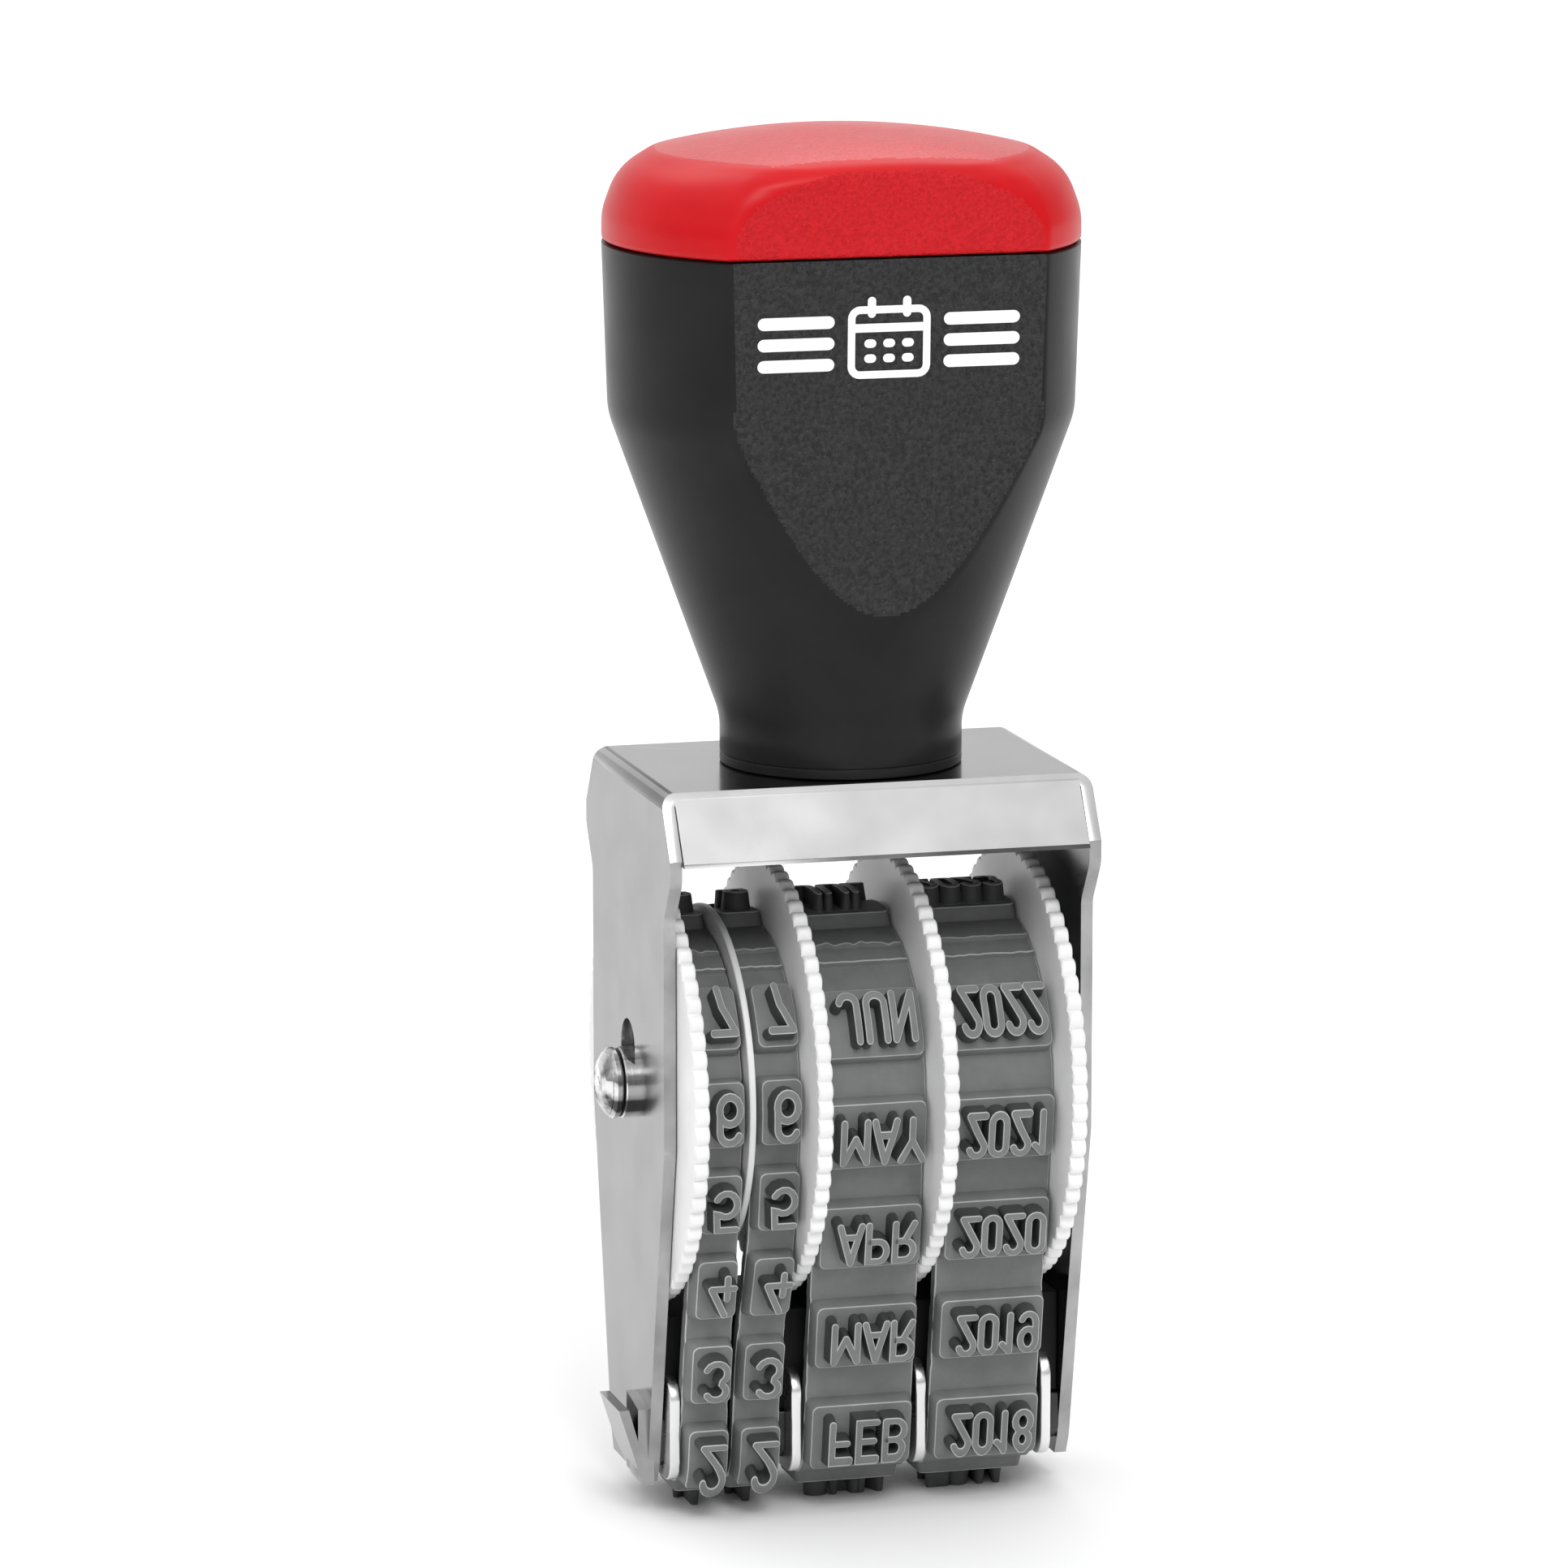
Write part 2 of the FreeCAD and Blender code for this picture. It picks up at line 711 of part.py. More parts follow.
def divider_fin(number):
    """An upright plate between two bands, with round corners, a window for the bar and an open
    slot for the filler block."""
    middle = "fin_%d_middle" % number
    plate = box("fin_%d_plate" % number,
                ("%s - fin_sheet / 2" % middle, "- fin_half", "fin_low"),
                ("%s + fin_sheet / 2" % middle, "fin_half", "fin_high"))
    soft = rounded("fin_%d_soft" % number, plate, "fin_round",
                   lambda edge: runs_along(edge, Vector(1, 0, 0)))
    window = bar_blank("fin_%d_window" % number, "%s - fin_sheet" % middle, "2 * fin_sheet")
    slot = box("fin_%d_slot" % number, ("%s - fin_sheet" % middle, "- filler_half", "bar_high"),
               ("%s + fin_sheet" % middle, "filler_half", "filler_high"))
    framed = cut("fin_%d_framed" % number, soft, window)
    keep(cut("fin_%d" % number, framed, slot), "divider_fin_%d" % number)


# ---------------------------------------------------------------- the whole stamp
frame()
handle_body()
handle_cap()
handle_screw()
axle()
setting_wheel("setting_wheel_day_tens", "tens_left", "tens_right", "tens_hub_end")
setting_wheel("setting_wheel_day_units", "units_left", "units_right", "units_hub_end")
setting_wheel("setting_wheel_month", "month_left", "month_right", "month_hub_end")
setting_wheel("setting_wheel_year", "year_left", "year_right", "year_hub_end")
axle_ring("divider_disc", "disc_left", "disc_right", "disc_radius")
axle_ring("friction_washer", "washer_left", "washer_right", "washer_radius")
wheel_play = size("wheel_play")
disc_play = size("disc_play")
band("band_day_tens", size("tens_right") + wheel_play, size("tens_hub_end") - disc_play,
     1, "day")
band("band_day_units", size("units_hub_end") + disc_play, size("units_left") - wheel_play,
     1, "day")
band("band_month", size("units_right") + wheel_play, size("month_left") - wheel_play,
     3, "word")
band("band_year", size("month_right") + wheel_play, size("year_left") - wheel_play,
     4, "word")
keep(bar_blank("anvil", "sheet - frame_width / 2", "frame_width - 2 * sheet"), "anvil_bar")
keep(box("filler", ("sheet - frame_width / 2", "- filler_half", "bar_high"),
         ("frame_width / 2 - sheet", "filler_half", "filler_high")), "filler_block")
for number in range(1, 5):
    divider_fin(number)

doc.recompute()
for feature in doc.Objects:
    if "Invalid" in feature.State or "Error" in feature.State:
        raise RuntimeError("%s failed: %s" % (feature.Name, feature.State))
os.makedirs("parts", exist_ok=True)
for solid in nodes:
    if solid.Shape.isNull() or not solid.Shape.isValid() or len(solid.Shape.Solids) != 1:
        raise RuntimeError("%s is not one valid solid" % solid.Label)
    solid.Shape.exportStep("parts/%s.step" % solid.Label)
    print("%-26s %9.1f mm3" % (solid.Label, solid.Shape.Volume))
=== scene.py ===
"""Looks of the rotary date stamp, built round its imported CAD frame.

Metres. +Z is up, -Y is the front, +X runs along the axle towards the year wheel. Shapes that
replace a CAD node keep that node's place and size.
"""
import math

import bmesh
import bpy
import numpy as np
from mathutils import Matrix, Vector, noise


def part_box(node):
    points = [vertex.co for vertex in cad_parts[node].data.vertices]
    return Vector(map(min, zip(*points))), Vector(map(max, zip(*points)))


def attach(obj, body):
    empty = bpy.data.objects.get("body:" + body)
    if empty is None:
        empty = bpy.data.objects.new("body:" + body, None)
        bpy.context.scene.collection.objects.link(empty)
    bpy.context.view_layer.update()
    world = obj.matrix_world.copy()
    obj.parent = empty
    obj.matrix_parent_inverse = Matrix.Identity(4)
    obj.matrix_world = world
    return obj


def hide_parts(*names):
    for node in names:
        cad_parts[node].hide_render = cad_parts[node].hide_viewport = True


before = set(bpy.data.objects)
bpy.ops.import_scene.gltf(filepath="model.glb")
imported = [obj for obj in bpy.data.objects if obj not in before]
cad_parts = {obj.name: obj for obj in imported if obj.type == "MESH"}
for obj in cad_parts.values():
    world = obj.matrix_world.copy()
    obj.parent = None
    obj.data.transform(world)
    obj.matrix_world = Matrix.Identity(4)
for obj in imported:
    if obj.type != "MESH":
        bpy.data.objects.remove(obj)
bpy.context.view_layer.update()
bpy.context.scene.view_settings.view_transform = "Standard"

MM = 0.001
ROOT = "stamp_frame"


# ---------------------------------------------------------------- materials
def socket_noise(tree, scale, detail=2.0, roughness=0.5, stretch=(1, 1, 1)):
    """A noise texture on object coordinates; returns its value socket."""
    place = tree.nodes.new("ShaderNodeTexCoord")
    mapping = tree.nodes.new("ShaderNodeMapping")
    mapping.inputs["Scale"].default_value = stretch
    texture = tree.nodes.new("ShaderNodeTexNoise")
    texture.inputs["Scale"].default_value = scale
    texture.inputs["Detail"].default_value = detail
    texture.inputs["Roughness"].default_value = roughness
    tree.links.new(place.outputs["Object"], mapping.inputs["Vector"])
    tree.links.new(mapping.outputs["Vector"], texture.inputs["Vector"])
    return texture.outputs["Fac"]


def spread(tree, value, low, high, start=0.3, end=0.7):
    """Map a noise value onto a range of numbers."""
    node = tree.nodes.new("ShaderNodeMapRange")
    node.inputs["From Min"].default_value = start
    node.inputs["From Max"].default_value = end
    node.inputs["To Min"].default_value = low
    node.inputs["To Max"].default_value = high
    tree.links.new(value, node.inputs["Value"])
    return node.outputs["Result"]


def tint(tree, value, dark, light, start=0.3, end=0.7):
    """Map a noise value onto two colours."""
    node = tree.nodes.new("ShaderNodeValToRGB")
    node.color_ramp.elements[0].position = start
    node.color_ramp.elements[1].position = end
    node.color_ramp.elements[0].color = (*dark, 1)
    node.color_ramp.elements[1].color = (*light, 1)
    tree.links.new(value, node.inputs["Fac"])
    return node.outputs["Color"]


def bump(tree, value, strength, distance, below=None):
    """A bump of the given height in metres, on top of another one if given."""
    node = tree.nodes.new("ShaderNodeBump")
    node.inputs["Strength"].default_value = strength
    node.inputs["Distance"].default_value = distance
    tree.links.new(value, node.inputs["Height"])
    if below is not None:
        tree.links.new(below, node.inputs["Normal"])
    return node.outputs["Normal"]


def surface(name, metallic=0.0, specular=0.5):
    """A new material: its node tree and its shader."""
    material = bpy.data.materials.new(name)
    material.use_nodes = True
    tree = material.node_tree
    shader = tree.nodes["Principled BSDF"]
    shader.inputs["Metallic"].default_value = metallic
    shader.inputs["Specular IOR Level"].default_value = specular
    return material, tree, shader


def plated(name, dark, light, rough, grain=(1, 1, 1), grain_scale=9000, grain_height=2e-7,
           wave_height=6e-6):
    """Bright plated metal: cloudy polish, a faint drawn grain and small handling marks."""
    material, tree, shader = surface(name, metallic=1.0)
    cloud = socket_noise(tree, 180, detail=3.0)
    streak = socket_noise(tree, grain_scale, detail=1.0, stretch=grain)
    fine = bump(tree, streak, 0.6, grain_height)
    wave = bump(tree, socket_noise(tree, 220, detail=0.0), 0.5, wave_height, fine)
    tree.links.new(tint(tree, cloud, dark, light), shader.inputs["Base Color"])
    tree.links.new(spread(tree, cloud, rough[0], rough[1]), shader.inputs["Roughness"])
    tree.links.new(wave, shader.inputs["Normal"])
    return material


def turned(name, dark, light, rough):
    """Bright turned metal: fine rings across X, and streaks along it that are painted reflections,
    dark to light in its colour.
    """
    material, tree, shader = surface(name, metallic=1.0)
    streak = socket_noise(tree, 620, detail=3.0, stretch=(0.04, 1, 1))
    rings = socket_noise(tree, 9000, detail=1.0, stretch=(1, 0.01, 0.01))
    # colour streaks along X: painted reflection
    tree.links.new(tint(tree, streak, dark, light, 0.38, 0.6), shader.inputs["Base Color"])
    tree.links.new(spread(tree, rings, rough[0], rough[1]), shader.inputs["Roughness"])
    tree.links.new(bump(tree, rings, 0.8, 2e-6), shader.inputs["Normal"])
    return material


def moulded(name, dark, light, rough, grain_scale, grain_height, specular=0.5, sparked_with_painted_highlight=False):
    """Moulded plastic. A spark-eroded grain is rougher, and its colour follows the grain so that its
    peaks are lighter: a painted highlight.
    """
    material, tree, shader = surface(name, specular=specular)
    cloud = socket_noise(tree, 140, detail=4.0)
    grain = socket_noise(tree, grain_scale, detail=3.0 if sparked_with_painted_highlight else 1.5)
    # the colour of a spark-eroded grain follows its bumps: lighter peaks are a painted highlight
    tree.links.new(tint(tree, grain if sparked_with_painted_highlight else cloud, dark, light, 0.36, 0.64),
                   shader.inputs["Base Color"])
    tree.links.new(spread(tree, cloud, rough[0], rough[1]), shader.inputs["Roughness"])
    tree.links.new(bump(tree, grain, 1.0, grain_height), shader.inputs["Normal"])
    return material


def rubber(name, dark, light, rough):
    """Moulded band rubber: dusty mottling and a very fine matt grain."""
    material, tree, shader = surface(name, specular=0.35)
    cloud = socket_noise(tree, 420, detail=6.0, roughness=0.65)
    grain = socket_noise(tree, 6500, detail=2.0)
    lump = bump(tree, socket_noise(tree, 900, detail=1.0), 0.6, 1.6e-5)
    tree.links.new(tint(tree, cloud, dark, light, 0.25, 0.75), shader.inputs["Base Color"])
    tree.links.new(spread(tree, cloud, rough[0], rough[1]), shader.inputs["Roughness"])
    tree.links.new(bump(tree, grain, 0.5, 4e-6, lump), shader.inputs["Normal"])
    return material


def grey(value):
    """A colour without any tint."""
    return (value, value, value)


NICKEL = plated("nickel_plate", grey(0.36), grey(0.44), (0.14, 0.22),
                grain=(1, 1, 0.02))
# darker copy of the plating for the sheet's outer sides: painted shade
NICKEL_SIDE_PAINTED_SHADE = plated("nickel_side_painted_shade", grey(0.19), grey(0.27), (0.14, 0.22),
                     grain=(1, 1, 0.02))
# lighter copy of the plating for the flange's front: painted highlight
NICKEL_FRONT_PAINTED_HIGHLIGHT = plated("nickel_front_painted_highlight", grey(0.43), grey(0.48), (0.2, 0.24),
                      grain=(0.02, 1, 1), grain_scale=7000, grain_height=6e-7, wave_height=8e-7)
NICKEL_CUT = plated("nickel_cut_edge", grey(0.28), grey(0.5), (0.25, 0.4),
                    grain=(0.05, 1, 1), grain_scale=2500, grain_height=8e-6)
# very dark copy of the plating: painted shade inside the sheet, under it, in the flange's slits and
# along its lower edge
NICKEL_PAINTED_SHADE = plated("nickel_inside_painted_shade", grey(0.08), grey(0.14), (0.18, 0.26),
                       grain=(1, 1, 0.02))
# the axle's dark-to-light streaks are painted reflection
CHROME = turned("axle_chrome", grey(0.07), grey(0.78), (0.06, 0.14))
STEEL = plated("bright_steel", grey(0.74), grey(0.92), (0.22, 0.36),
               grain=(1, 1, 0.05), grain_scale=5000, grain_height=2e-6)
# dark steel for the anvil bar; on the axle's clip grooves it is painted shade
DARK_STEEL = plated("dark_steel_and_groove_shade", grey(0.05), grey(0.09), (0.35, 0.5))
ZINC = plated("zinc_plate", (0.45, 0.46, 0.47), (0.58, 0.59, 0.6), (0.3, 0.42))
BLACK = moulded("grip_black", grey(0.011), grey(0.015), (0.28, 0.36),
                2200, 6e-6, specular=0.12)
BLACK_GRAIN = moulded("grip_black_grain", grey(0.003), grey(0.02),
                      (0.34, 0.42), 2500, 4e-4, specular=0.36, sparked_with_painted_highlight=True)
FILLER_BLACK = moulded("filler_black", grey(0.008), grey(0.014),
                       (0.5, 0.6), 1500, 1e-5, specular=0.2)
RED = moulded("cap_red", (0.52, 0.003, 0.007), (0.57, 0.005, 0.009), (0.3, 0.38), 2600, 5e-6,
              specular=0.18)
RED_GRAIN = moulded("cap_red_grain", (0.49, 0.004, 0.009), (0.58, 0.008, 0.014), (0.42, 0.5),
                    2900, 3e-4, specular=0.18, sparked_with_painted_highlight=True)
RED_CROWN = moulded("cap_red_crown", (0.49, 0.004, 0.009), (0.58, 0.008, 0.014), (0.28, 0.34),
                    2900, 8e-5, specular=0.62, sparked_with_painted_highlight=True)
WHITE = moulded("wheel_white", grey(0.8), grey(0.87), (0.36, 0.46), 900, 6e-6)
DISC_WHITE = moulded("disc_white", grey(0.66), grey(0.74), (0.3, 0.4), 900, 4e-6)
PRINT_WHITE = moulded("print_white", (0.9, 0.9, 0.89), (0.95, 0.95, 0.94), (0.45, 0.55),
                      2600, 1e-5)
RUBBER = rubber("band_rubber", (0.145, 0.148, 0.148), (0.2, 0.203, 0.203), (0.5, 0.65))
# lighter rubber: painted highlight on the band's top edges, the pads' rims, the type's top strip and
# the ridges' tops
RUBBER_EDGE_HIGHLIGHT = rubber("band_rubber_edge_highlight", (0.38, 0.385, 0.385), (0.52, 0.525, 0.525),
                     (0.45, 0.55))
# darker rubber for the type's tall flanks: painted shade
RUBBER_SIDE_SHADE = rubber("band_rubber_side_shade", (0.04, 0.041, 0.041), (0.07, 0.072, 0.072), (0.5, 0.65))


# ---------------------------------------------------------------- mesh helpers
def shade(mesh, sharp_degrees):
    """Smooth shading that keeps edges sharper than the given angle."""
    mesh.polygons.foreach_set("use_smooth", [True] * len(mesh.polygons))
    mesh.set_sharp_from_angle(angle=math.radians(sharp_degrees))


def add_piece(name, mesh, materials, body, replaced=(), sharp_degrees=40):
    """Put a finished mesh into the scene as one piece of the stamp."""
    for material in materials:
        mesh.materials.append(material)
    shade(mesh, sharp_degrees)
    piece = bpy.data.objects.new(name, mesh)
    bpy.context.scene.collection.objects.link(piece)
    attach(piece, body)
    if replaced:
        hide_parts(*replaced)
    return piece


def keep_flat(mesh, width):
    """Flat shading on wide faces, so that their soft edges do not bend the light on them."""
    for face in mesh.polygons:
        corners = [mesh.vertices[i].co for i in face.vertices]
        around = sum((a - b).length for a, b in zip(corners, corners[1:] + corners[:1]))
        if face.area / around > width:
            face.use_smooth = False


def mesh_from(name, points, faces, marks=None):
    """A mesh from points, faces and a material index for each face, its normals outwards."""
    mesh = bpy.data.meshes.new(name)
    mesh.from_pydata([tuple(p) for p in points], [], faces)
    if marks is not None:
        mesh.polygons.foreach_set("material_index", np.asarray(marks, np.int32))
    work = bmesh.new()
    work.from_mesh(mesh)
    bmesh.ops.recalc_face_normals(work, faces=work.faces)
    work.to_mesh(mesh)
    work.free()
    mesh.validate()
    return mesh


def rounded_profile(corners, steps):
    """A polyline through (across, up, radius) corners, each rounded by its own radius."""
    flat = [Vector((c[0], c[1])) for c in corners]
    line = [flat[0]]
    for i in range(1, len(corners) - 1):
        radius = corners[i][2]
        back = (flat[i - 1] - flat[i]).normalized()
        ahead = (flat[i + 1] - flat[i]).normalized()
        half = math.acos(max(-1.0, min(1.0, back.dot(ahead)))) / 2
        if radius <= 0 or half > math.pi / 2 - 1e-3:
            line.append(flat[i])
            continue
        reach = radius / math.tan(half)
        centre = flat[i] + (back + ahead).normalized() * (radius / math.sin(half))
        start = flat[i] + back * reach - centre
        turn = start.angle_signed(flat[i] + ahead * reach - centre)
        for step in range(steps + 1):
            spot = start.copy()
            angle = -turn * step / steps
            cosine, sine = math.cos(angle), math.sin(angle)
            line.append(centre + Vector((spot.x * cosine - spot.y * sine,
                                         spot.x * sine + spot.y * cosine)))
    line.append(flat[-1])
    return np.array([(p.x, p.y) for p in line])


def evenly(line, spacing):
    """Points along a polyline at an even spacing."""
    runs = np.hypot(*np.diff(line, axis=0).T)
    length = np.concatenate([[0], np.cumsum(runs)])
    count = max(2, int(round(length[-1] / spacing)) + 1)
    marks = np.linspace(0, length[-1], count)
    return np.stack([np.interp(marks, length, line[:, 0]),
                     np.interp(marks, length, line[:, 1])], 1)


def soft_min(a, b, width):
    """The smaller of two values, with the change from one to the other rounded off."""
    share = np.clip(0.5 + 0.5 * (b - a) / width, 0, 1)
    return b * (1 - share) + a * share - width * share * (1 - share)


def ring_faces(rows, columns, endless=False):
    """Quads between neighbouring closed rows of points. An endless skin also joins its last row
    to its first."""
    faces = []
    for row in range(rows if endless else rows - 1):
        low, high = row * columns, (row + 1) % rows * columns
        for column in range(columns):
            after = (column + 1) % columns
            faces.append((low + column, low + after, high + after, high + column))
    return faces


# ---------------------------------------------------------------- CAD shapes with soft edges
FLANGE_LOW = 55.55 * MM
# height of the strip along the flange's lower edge that gets painted shade
FLANGE_SHADE_STRIP = 0.32 * MM
FLANGE_ZONE = 53 * MM
CRISP_DEGREES = 30
# materials of the folded sheet, in their order: plating, cut edge, painted shade, the flange's
# painted highlight, the outer sides' painted shade
PLATED, CUT_EDGE, PAINTED_SHADE, FLANGE_PAINTED_HIGHLIGHT, OUTER_SIDE_PAINTED_SHADE = range(5)


def sheet_side(face):
    """Which material a face of the folded sheet gets. Painted shade goes on the inside, on faces
    turned down, on the slit at each end of the front flange and on a strip along that flange's
    sheared lower edge; the flange's front gets a lighter copy of the plating, a painted highlight,
    and the outer sides a darker copy, painted shade."""
    middle = face.calc_center_median()
    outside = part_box("frame")[1].x
    across = abs(middle.x)
    inner = outside - 1.05 * MM
    if inner < across < outside + 1.0 * MM and middle.z < 60 * MM:
        if abs(face.normal.x) < 0.3:
            return CUT_EDGE
        # inner faces of the side plates: painted shade
        if middle.x * face.normal.x < 0 and across < outside - 0.9 * MM:
            return PAINTED_SHADE
    # faces turned down, under the top: painted shade
    if face.normal.z < -0.3 and middle.z > 53.5 * MM:
        return PAINTED_SHADE
    # the slit at each end of the flange: painted shade
    at_slit = abs(across - inner) < 0.28 * MM and abs(face.normal.x) > 0.2
    if at_slit and middle.z > 55 * MM and middle.y < 0:
        return PAINTED_SHADE
    # the flange's front: a painted highlight, and painted shade on a strip along its lower edge
    if face.normal.y < -0.3 and middle.z > FLANGE_ZONE:
        at_shaded_edge = across < outside - 1.0 * MM and middle.z < FLANGE_LOW + FLANGE_SHADE_STRIP
        return PAINTED_SHADE if at_shaded_edge else FLANGE_PAINTED_HIGHLIGHT
    # outer sides: painted shade; all other faces plain plating
    return OUTER_SIDE_PAINTED_SHADE if abs(face.normal.x) > 0.7 else PLATED


def part_flange_edge(work):
    """Cut the front flange's faces along the top of the strip at its sheared lower edge that gets
    painted shade.
    """
    fronts = [face for face in work.faces if face.normal.y < -0.3
              and face.calc_center_median().z > FLANGE_ZONE]
    cut = set(fronts)
    for face in fronts:
        cut.update(face.edges)
        cut.update(face.verts)
    bmesh.ops.bisect_plane(work, geom=list(cut), dist=1e-7,
                           plane_co=(0, 0, FLANGE_LOW + FLANGE_SHADE_STRIP), plane_no=(0, 0, 1))


def softened(node, name, material, body, width):
    """A copy of a CAD node whose sharp edges are broken by a small rounded bevel."""
    work = bmesh.new()
    work.from_mesh(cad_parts[node].data)
    bmesh.ops.remove_doubles(work, verts=work.verts, dist=2e-6)
    bmesh.ops.dissolve_limit(work, angle_limit=math.radians(0.6), verts=work.verts,
                             edges=work.edges)
    crisp = [edge for edge in work.edges
             if len(edge.link_faces) == 2
             and edge.calc_face_angle(0) > math.radians(CRISP_DEGREES)]
    bmesh.ops.bevel(work, geom=crisp, offset=width, offset_type="OFFSET", segments=2,
                    profile=0.6, affect="EDGES", clamp_overlap=True)
    if node == "frame":
        part_flange_edge(work)
    for face in work.faces:
        face.material_index = sheet_side(face) if node == "frame" else 0
    mesh = bpy.data.meshes.new(name)
    work.to_mesh(mesh)
    work.free()
    materials = [material]
    # the frame also gets its cut edge, painted shade, the flange's painted highlight and the sides'
    # painted shade
    if node == "frame":
        materials += [NICKEL_CUT, NICKEL_PAINTED_SHADE, NICKEL_FRONT_PAINTED_HIGHLIGHT, NICKEL_SIDE_PAINTED_SHADE]
    add_piece(name, mesh, materials, body, (node,), 40)
    keep_flat(mesh, 0.3 * MM)


# ---------------------------------------------------------------- handle
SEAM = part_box("handle_body")[1].z
PLATE_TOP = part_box("frame")[1].z
CAP_BASE = SEAM + 0.15 * MM
GRIP_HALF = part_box("handle_body")[1].x
FACET_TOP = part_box("handle_body")[1].y
FACET_LOW = 12.9 * MM
NECK = 9.9 * MM
SHOULDER = (18.95 * MM, 90.0 * MM)
CREASE = 0.3 * MM
NECK_TOP = 65.0 * MM


def facet_distance(height):
    """How far the front and rear facets stand from the middle at a height."""
    return np.interp(height, [PLATE_TOP, SEAM], [FACET_LOW, FACET_TOP])


def grip_body():
    """The black grip: a round cone with two flat grained facets, front and rear."""
    line = rounded_profile([
        (NECK - 0.5 * MM, PLATE_TOP, 0),
        (NECK, PLATE_TOP + 0.12 * MM, 0.1 * MM),
        (NECK, PLATE_TOP + 0.85 * MM, 0.05 * MM),
        (NECK - 0.12 * MM, PLATE_TOP + 0.92 * MM, 0.02 * MM),
        (NECK, PLATE_TOP + 1.0 * MM, 0.05 * MM),
        (NECK, NECK_TOP, 6 * MM),
        (SHOULDER[0], SHOULDER[1], 6 * MM),
        (GRIP_HALF, SEAM, 0.15 * MM),
        (GRIP_HALF - 0.8 * MM, SEAM, 0)], 10)
    foot = evenly(line[line[:, 1] < PLATE_TOP + 1.3 * MM], 0.06 * MM)
    rest = evenly(line[line[:, 1] >= PLATE_TOP + 1.3 * MM], 0.28 * MM)
    rows = np.concatenate([foot, rest])
    columns = 560
    turn = np.linspace(0, 2 * math.pi, columns, endpoint=False)
    flat = facet_distance(rows[:, 1])[:, None] / np.maximum(np.abs(np.sin(turn)), 1e-3)[None]
    inset = GRIP_HALF - rows[-1, 0]
    flat[-1] -= inset
    radius = soft_min(rows[:, 0][:, None], flat, CREASE)
    x = radius * np.cos(turn)
    y = radius * np.sin(turn)
    z = np.repeat(rows[:, 1][:, None], columns, 1)
    points = np.stack([x, y, z], -1).reshape(-1, 3)
    faces = ring_faces(len(rows), columns)
    grained = (flat < rows[:, 0][:, None] - 0.12 * MM)
    marks = [int(grained[f[0] // columns, f[0] % columns]) for f in faces]
    faces.append(tuple(range(columns)))
    faces.append(tuple((len(rows) - 1) * columns + i for i in range(columns)))
    marks += [0, 0]
    mesh = mesh_from("grip_body", points, faces, marks)
    add_piece("grip_body", mesh, [BLACK, BLACK_GRAIN], ROOT, ("handle_body",), 50)


def polar(line, centre_height):
    """Angle above the horizon and distance from the centre for each point of a profile."""
    up = line[:, 1] - centre_height
    angle = np.arctan2(up, line[:, 0])
    order = np.argsort(angle)
    return angle[order], np.hypot(line[:, 0], up)[order]


